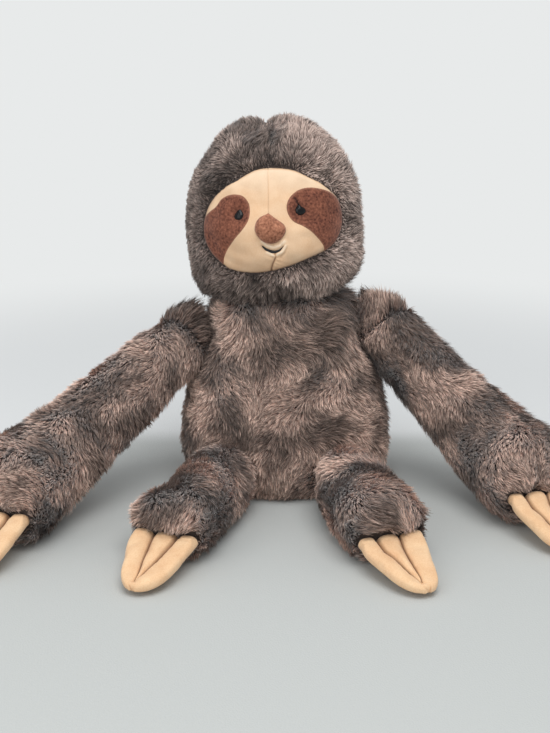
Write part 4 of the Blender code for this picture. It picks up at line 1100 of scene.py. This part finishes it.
# %% [markdown]
# ## Claw mitts
# Each hand and foot ends in one flat mitt of short-pile cloth. Two lines of stitching run from the wrist and
# meet before the tip, so the filling makes three lobes, the middle one narrow. The mitt is a leaf of two
# sheets that share their rim. Its rows run along the lobes, so that the stitched lines are lines of the grid.
# These and the rim are pinned, the simulation fills the lobes, and a crease keeps the stitched lines sharp.

# %% Outlines and stitched lines, in millimetres ahead of the wrist and across
LEAVES = {
    "right": (((-6, 29), (0, 29), (12, 27), (30, 21), (45, 15.8), (53, 10.8), (58, 5), (60.2, -1.2)),
              ((-6, -29), (0, -29), (12, -28.2), (30, -25.6), (45, -21.4), (53, -15.9), (58, -8.8), (60.2, -1.2)),
              ((-6, 10), (5, 8.6), (16, 6.6), (29, 4.2), (42, 1.6), (52, 0.7), (59.4, 2.2)),
              ((-6, -11.5), (5, -10.6), (16.5, -8.8), (29, -6.6), (42, -3.0), (52, -0.3), (59.4, -4.4))),
    "left": (((-6, 29), (0, 29), (12, 28.6), (30, 23.3), (44, 18.3), (52.5, 12.6), (58.3, 5.6), (60.4, -2.2)),
             ((-6, -29), (0, -28.6), (12, -26), (30, -21.4), (44, -17.6), (52.5, -14.2), (58.3, -9.0), (60.4, -2.2)),
             ((-6, 13), (4, 13.4), (13, 12.6), (23, 8.6), (37, 5.0), (46.5, 1.9), (52.5, 0.4), (59.4, 2.0)),
             ((-6, -8), (4, -6), (13, -4.2), (23, -3.0), (37, -2.2), (46.5, -1.6), (52.5, -0.8), (59.4, -5.6))),
}
MITT_ROWS, MITT_PARTS, STITCHED_TO = 44, (9, 5, 9), 53


# %% Mitts
def mitt(name, joint, leaf, rise):
    """A leaf of two sheets, not yet stuffed, with its pinned vertices; rise is its height along its length."""
    spot, forward = spot_of(joint), ahead_of(joint)
    across = forward.cross(UPWARDS)
    left, right, line_a, line_b = (spline(line, MITT_ROWS, False) for line in leaf)
    bm = bmesh.new()
    fold, held = bm.verts.layers.float.new("fold"), bm.verts.layers.int.new("held")
    tops, lows = [], []
    for row in range(MITT_ROWS):
        places, shares = [left[row]], [0.0]
        for a, b, parts in ((left, line_a, MITT_PARTS[0]), (line_a, line_b, MITT_PARTS[1]),
                            (line_b, right, MITT_PARTS[2])):
            for k in range(1, parts + 1):
                share = k / parts
                share = 0.5 * share + 0.5 * (0.5 - 0.5 * math.cos(math.pi * share))
                places.append(a[row] * (1 - share) + b[row] * share)
        last = len(places) - 1
        top_row, low_row = [], []
        for column, (ahead, aside) in enumerate(places):
            stitched = column in (MITT_PARTS[0], MITT_PARTS[0] + MITT_PARTS[1]) and ahead < STITCHED_TO
            on_rim = column in (0, last) or row == MITT_ROWS - 1
            near = min(np.linalg.norm(np.array((ahead, aside)) - line[row]) for line in (line_a, line_b))
            if ahead > STITCHED_TO:
                near = math.hypot(near, ahead - STITCHED_TO)
            to_rim = min(np.linalg.norm(places[column] - places[0]), np.linalg.norm(places[column] - places[last]),
                         max(0.0, 60.3 - ahead) * 0.9)
            lobe = (1 - math.exp(-near / 2.2)) * math.sqrt(max(0, 1 - (1 - min(1, to_rim / 7.5)) ** 2.2))
            high = 0.0 if on_rim else (0.0005 + 0.0056 * lobe) * (1 - 0.15 * max(ahead, 0) / 60)
            middle = float(np.interp(ahead / 60, *zip(*rise)))
            p = spot + forward * (ahead / 1000) + across * (aside / 1000)
            top_row.append(bm.verts.new((p.x, p.y, middle + high)))
            low_row.append(top_row[-1] if on_rim else bm.verts.new((p.x, p.y, max(middle - 0.8 * high, 0.0004))))
            for vert in (top_row[-1], low_row[-1]):
                # Along the stitched lines the claws take their fold colour: partly brownish thread, partly painted
                # shade in the crease
                vert[fold] = 1.0 if stitched else 0.0
                vert[held] = int(stitched or on_rim or row == 0)
        tops.append(top_row)
        lows.append(low_row)
    for sheet, flip in ((tops, False), (lows, True)):
        for above, below in zip(sheet, sheet[1:]):
            for k in range(last):
                face = [above[k], below[k], below[k + 1], above[k + 1]]
                bm.faces.new(face[::-1] if flip else face)
    for k in range(last):
        wall = [tops[0][k], tops[0][k + 1], lows[0][k + 1], lows[0][k]]
        bm.faces.new([v for i, v in enumerate(wall) if v not in wall[:i]])
    obj = closed_form(name, bm, 5e-5)
    return obj, np.flatnonzero([item.value for item in obj.data.attributes["held"].data])


mitts = {}
for side in ("left", "right"):
    for end, rise in (("hand", ((-0.1, 0.029), (0.0, 0.029), (0.5, 0.019), (1.0, 0.0068))),
                      ("foot", ((-0.1, 0.021), (0.0, 0.021), (0.5, 0.0145), (1.0, 0.0068)))):
        mitts[end, side] = mitt(f"claws_{side}_{end}_mitt", f"{end}_{side}_flex", LEAVES[side], rise)
stuff(dict(mitts.values()), 9, 0.0022, 0.02)

for (end, side), (claws, _) in mitts.items():
    mesh = claws.data
    folds = [item.value for item in mesh.attributes["fold"].data]
    sharp = mesh.attributes.new("crease_edge", "FLOAT", "EDGE")
    for edge, item in zip(mesh.edges, sharp.data):
        item.value = 0.9 if min(folds[i] for i in edge.vertices) > 0.5 else 0.0
    for vert in mesh.vertices:
        vert.co.z = max(vert.co.z, 0.0004)
    finer = claws.modifiers.new("finer", "SUBSURF")
    finer.levels = finer.render_levels = 1
    finished(claws)
    claws.data.shade_smooth()
    print(claws.name, len(claws.data.polygons), "faces")
    dress(claws, CLAW_VELBOA, (f"claws_{side}_{end}",), f"{end}_{side}")

# %% [markdown]
# ## Wads in the joints
# A plump wad of fibre sits in the neck and in each limb's rounded root. It is hardly ever seen, and only turns with its
# joint, so each is the CAD wad's own form drawn in to loose fibre and given a fibre look, but for the neck's, which
# takes the dark backing as painted shade.

# %% Wads
FIBRE = flecked("polyester_fibre", "CFCDC8", "F2F1EE", {"Scale": 300.0, "Detail": 6.0}, {"Roughness": 0.95})
for body in ("neck", "shoulder_left", "shoulder_right", "hip_left", "hip_right"):
    wad = skin(f"{body}_wad", (f"{body}_filling",), 0.003, 4)
    for vert in wad.data.vertices:
        vert.co -= vert.normal * (0.0012 + 0.0008 * noise.noise(vert.co / 0.006))
    # The neck's wad takes the plush's dark backing, as painted shade in the gap that shows under the chin when the head
    # looks up
    dress(wad, SHADE_BACKING if body == "neck" else FIBRE, (f"{body}_filling",), body)

# %% [markdown]
# ## Floor and light
# The toy sits on a pale cloth before a paler sheet. One wide floor stands for both: its colour changes just
# behind the toy. Further out, where no shadow falls, the camera sees the floor in the sky's own pale colour,
# so that no horizon shows. Two large soft lamps and an even sky light it, so that a colour renders as written.

# %% Floor, lamps and sky
PALE = linear("E8EAEA")
floor_mesh = bmesh.new()
bmesh.ops.create_grid(floor_mesh, x_segments=1, y_segments=1, size=6)
floor = new_object("floor", floor_mesh)
floor_cloth, tree, shader = material("floor_cloth", {"Roughness": 0.95})
place = add(tree, "ShaderNodeTexCoord").outputs["Object"]
behind = add(tree, "ShaderNodeSeparateXYZ", {0: place}).outputs[1]
share = add(tree, "ShaderNodeMapRange", {0: behind, 1: 0.075, 2: 0.13}, interpolation_type="SMOOTHSTEP")
shown = add(tree, "ShaderNodeMix", {0: share, 6: linear("BDC0BE"), 7: linear("DADCDC")}, data_type="RGBA")
weave = add(tree, "ShaderNodeTexNoise", {"Vector": place, "Scale": 700.0})
weave_bump = add(tree, "ShaderNodeBump", {"Height": weave, "Strength": 0.4, "Distance": 0.0006})
tree.links.new(shown.outputs[2], shader.inputs["Base Color"])
tree.links.new(weave_bump.outputs[0], shader.inputs["Normal"])
known = dict(add(tree, "ShaderNodeLightPath").outputs)
flat_place = add(tree, "ShaderNodeVectorMath", {0: place, 1: (1, 1, 0)}, operation="MULTIPLY")
away = add(tree, "ShaderNodeVectorMath", {0: flat_place}, operation="LENGTH").outputs["Value"]
known["far"] = add(tree, "ShaderNodeMapRange", {0: away, 1: 0.42, 2: 1.0}, interpolation_type="SMOOTHSTEP").outputs[0]
sums(tree, "ShaderNodeMath", known, (
    ("mirrored", "MAXIMUM", "Is Camera Ray", "Is Glossy Ray"), ("seen", "MAXIMUM", "mirrored", "Is Transmission Ray"),
    ("pale", "MULTIPLY", "far", "seen")))
glow = add(tree, "ShaderNodeEmission", {"Color": PALE, "Strength": 1.0})
both = add(tree, "ShaderNodeMixShader", {0: known["pale"], 1: shader, 2: glow})
tree.links.new(both.outputs[0], tree.nodes["Material Output"].inputs["Surface"])
floor.data.materials.append(floor_cloth)

LIT_POINT = Vector((0, -0.05, 0.15))
for name, place, size, power in (("key", (0.2, -0.75, 1.75), 1.3, 19), ("fill", (-0.9, -1.2, 0.9), 1.2, 6)):
    lamp = bpy.data.objects.new(name, bpy.data.lights.new(name, "AREA"))
    bpy.context.scene.collection.objects.link(lamp)
    lamp.location = place
    lamp.rotation_euler = (LIT_POINT - lamp.location).to_track_quat("-Z", "Y").to_euler()
    lamp.data.size = size
    lamp.data.energy = power

world = bpy.data.worlds.new("pale_sky")
bpy.context.scene.world = world
world.use_nodes = True
tree = world.node_tree
tree.nodes.clear()
rays = add(tree, "ShaderNodeLightPath").outputs
sky = add(tree, "ShaderNodeBackground", {"Color": linear("F2F4F6"), "Strength": 0.69})
seen = add(tree, "ShaderNodeBackground", {"Color": PALE, "Strength": 1.0})
mixed = add(tree, "ShaderNodeMixShader", {0: rays["Is Camera Ray"], 1: sky, 2: seen})
add(tree, "ShaderNodeOutputWorld", {0: mixed})
bpy.context.scene.view_settings.view_transform = "Standard"
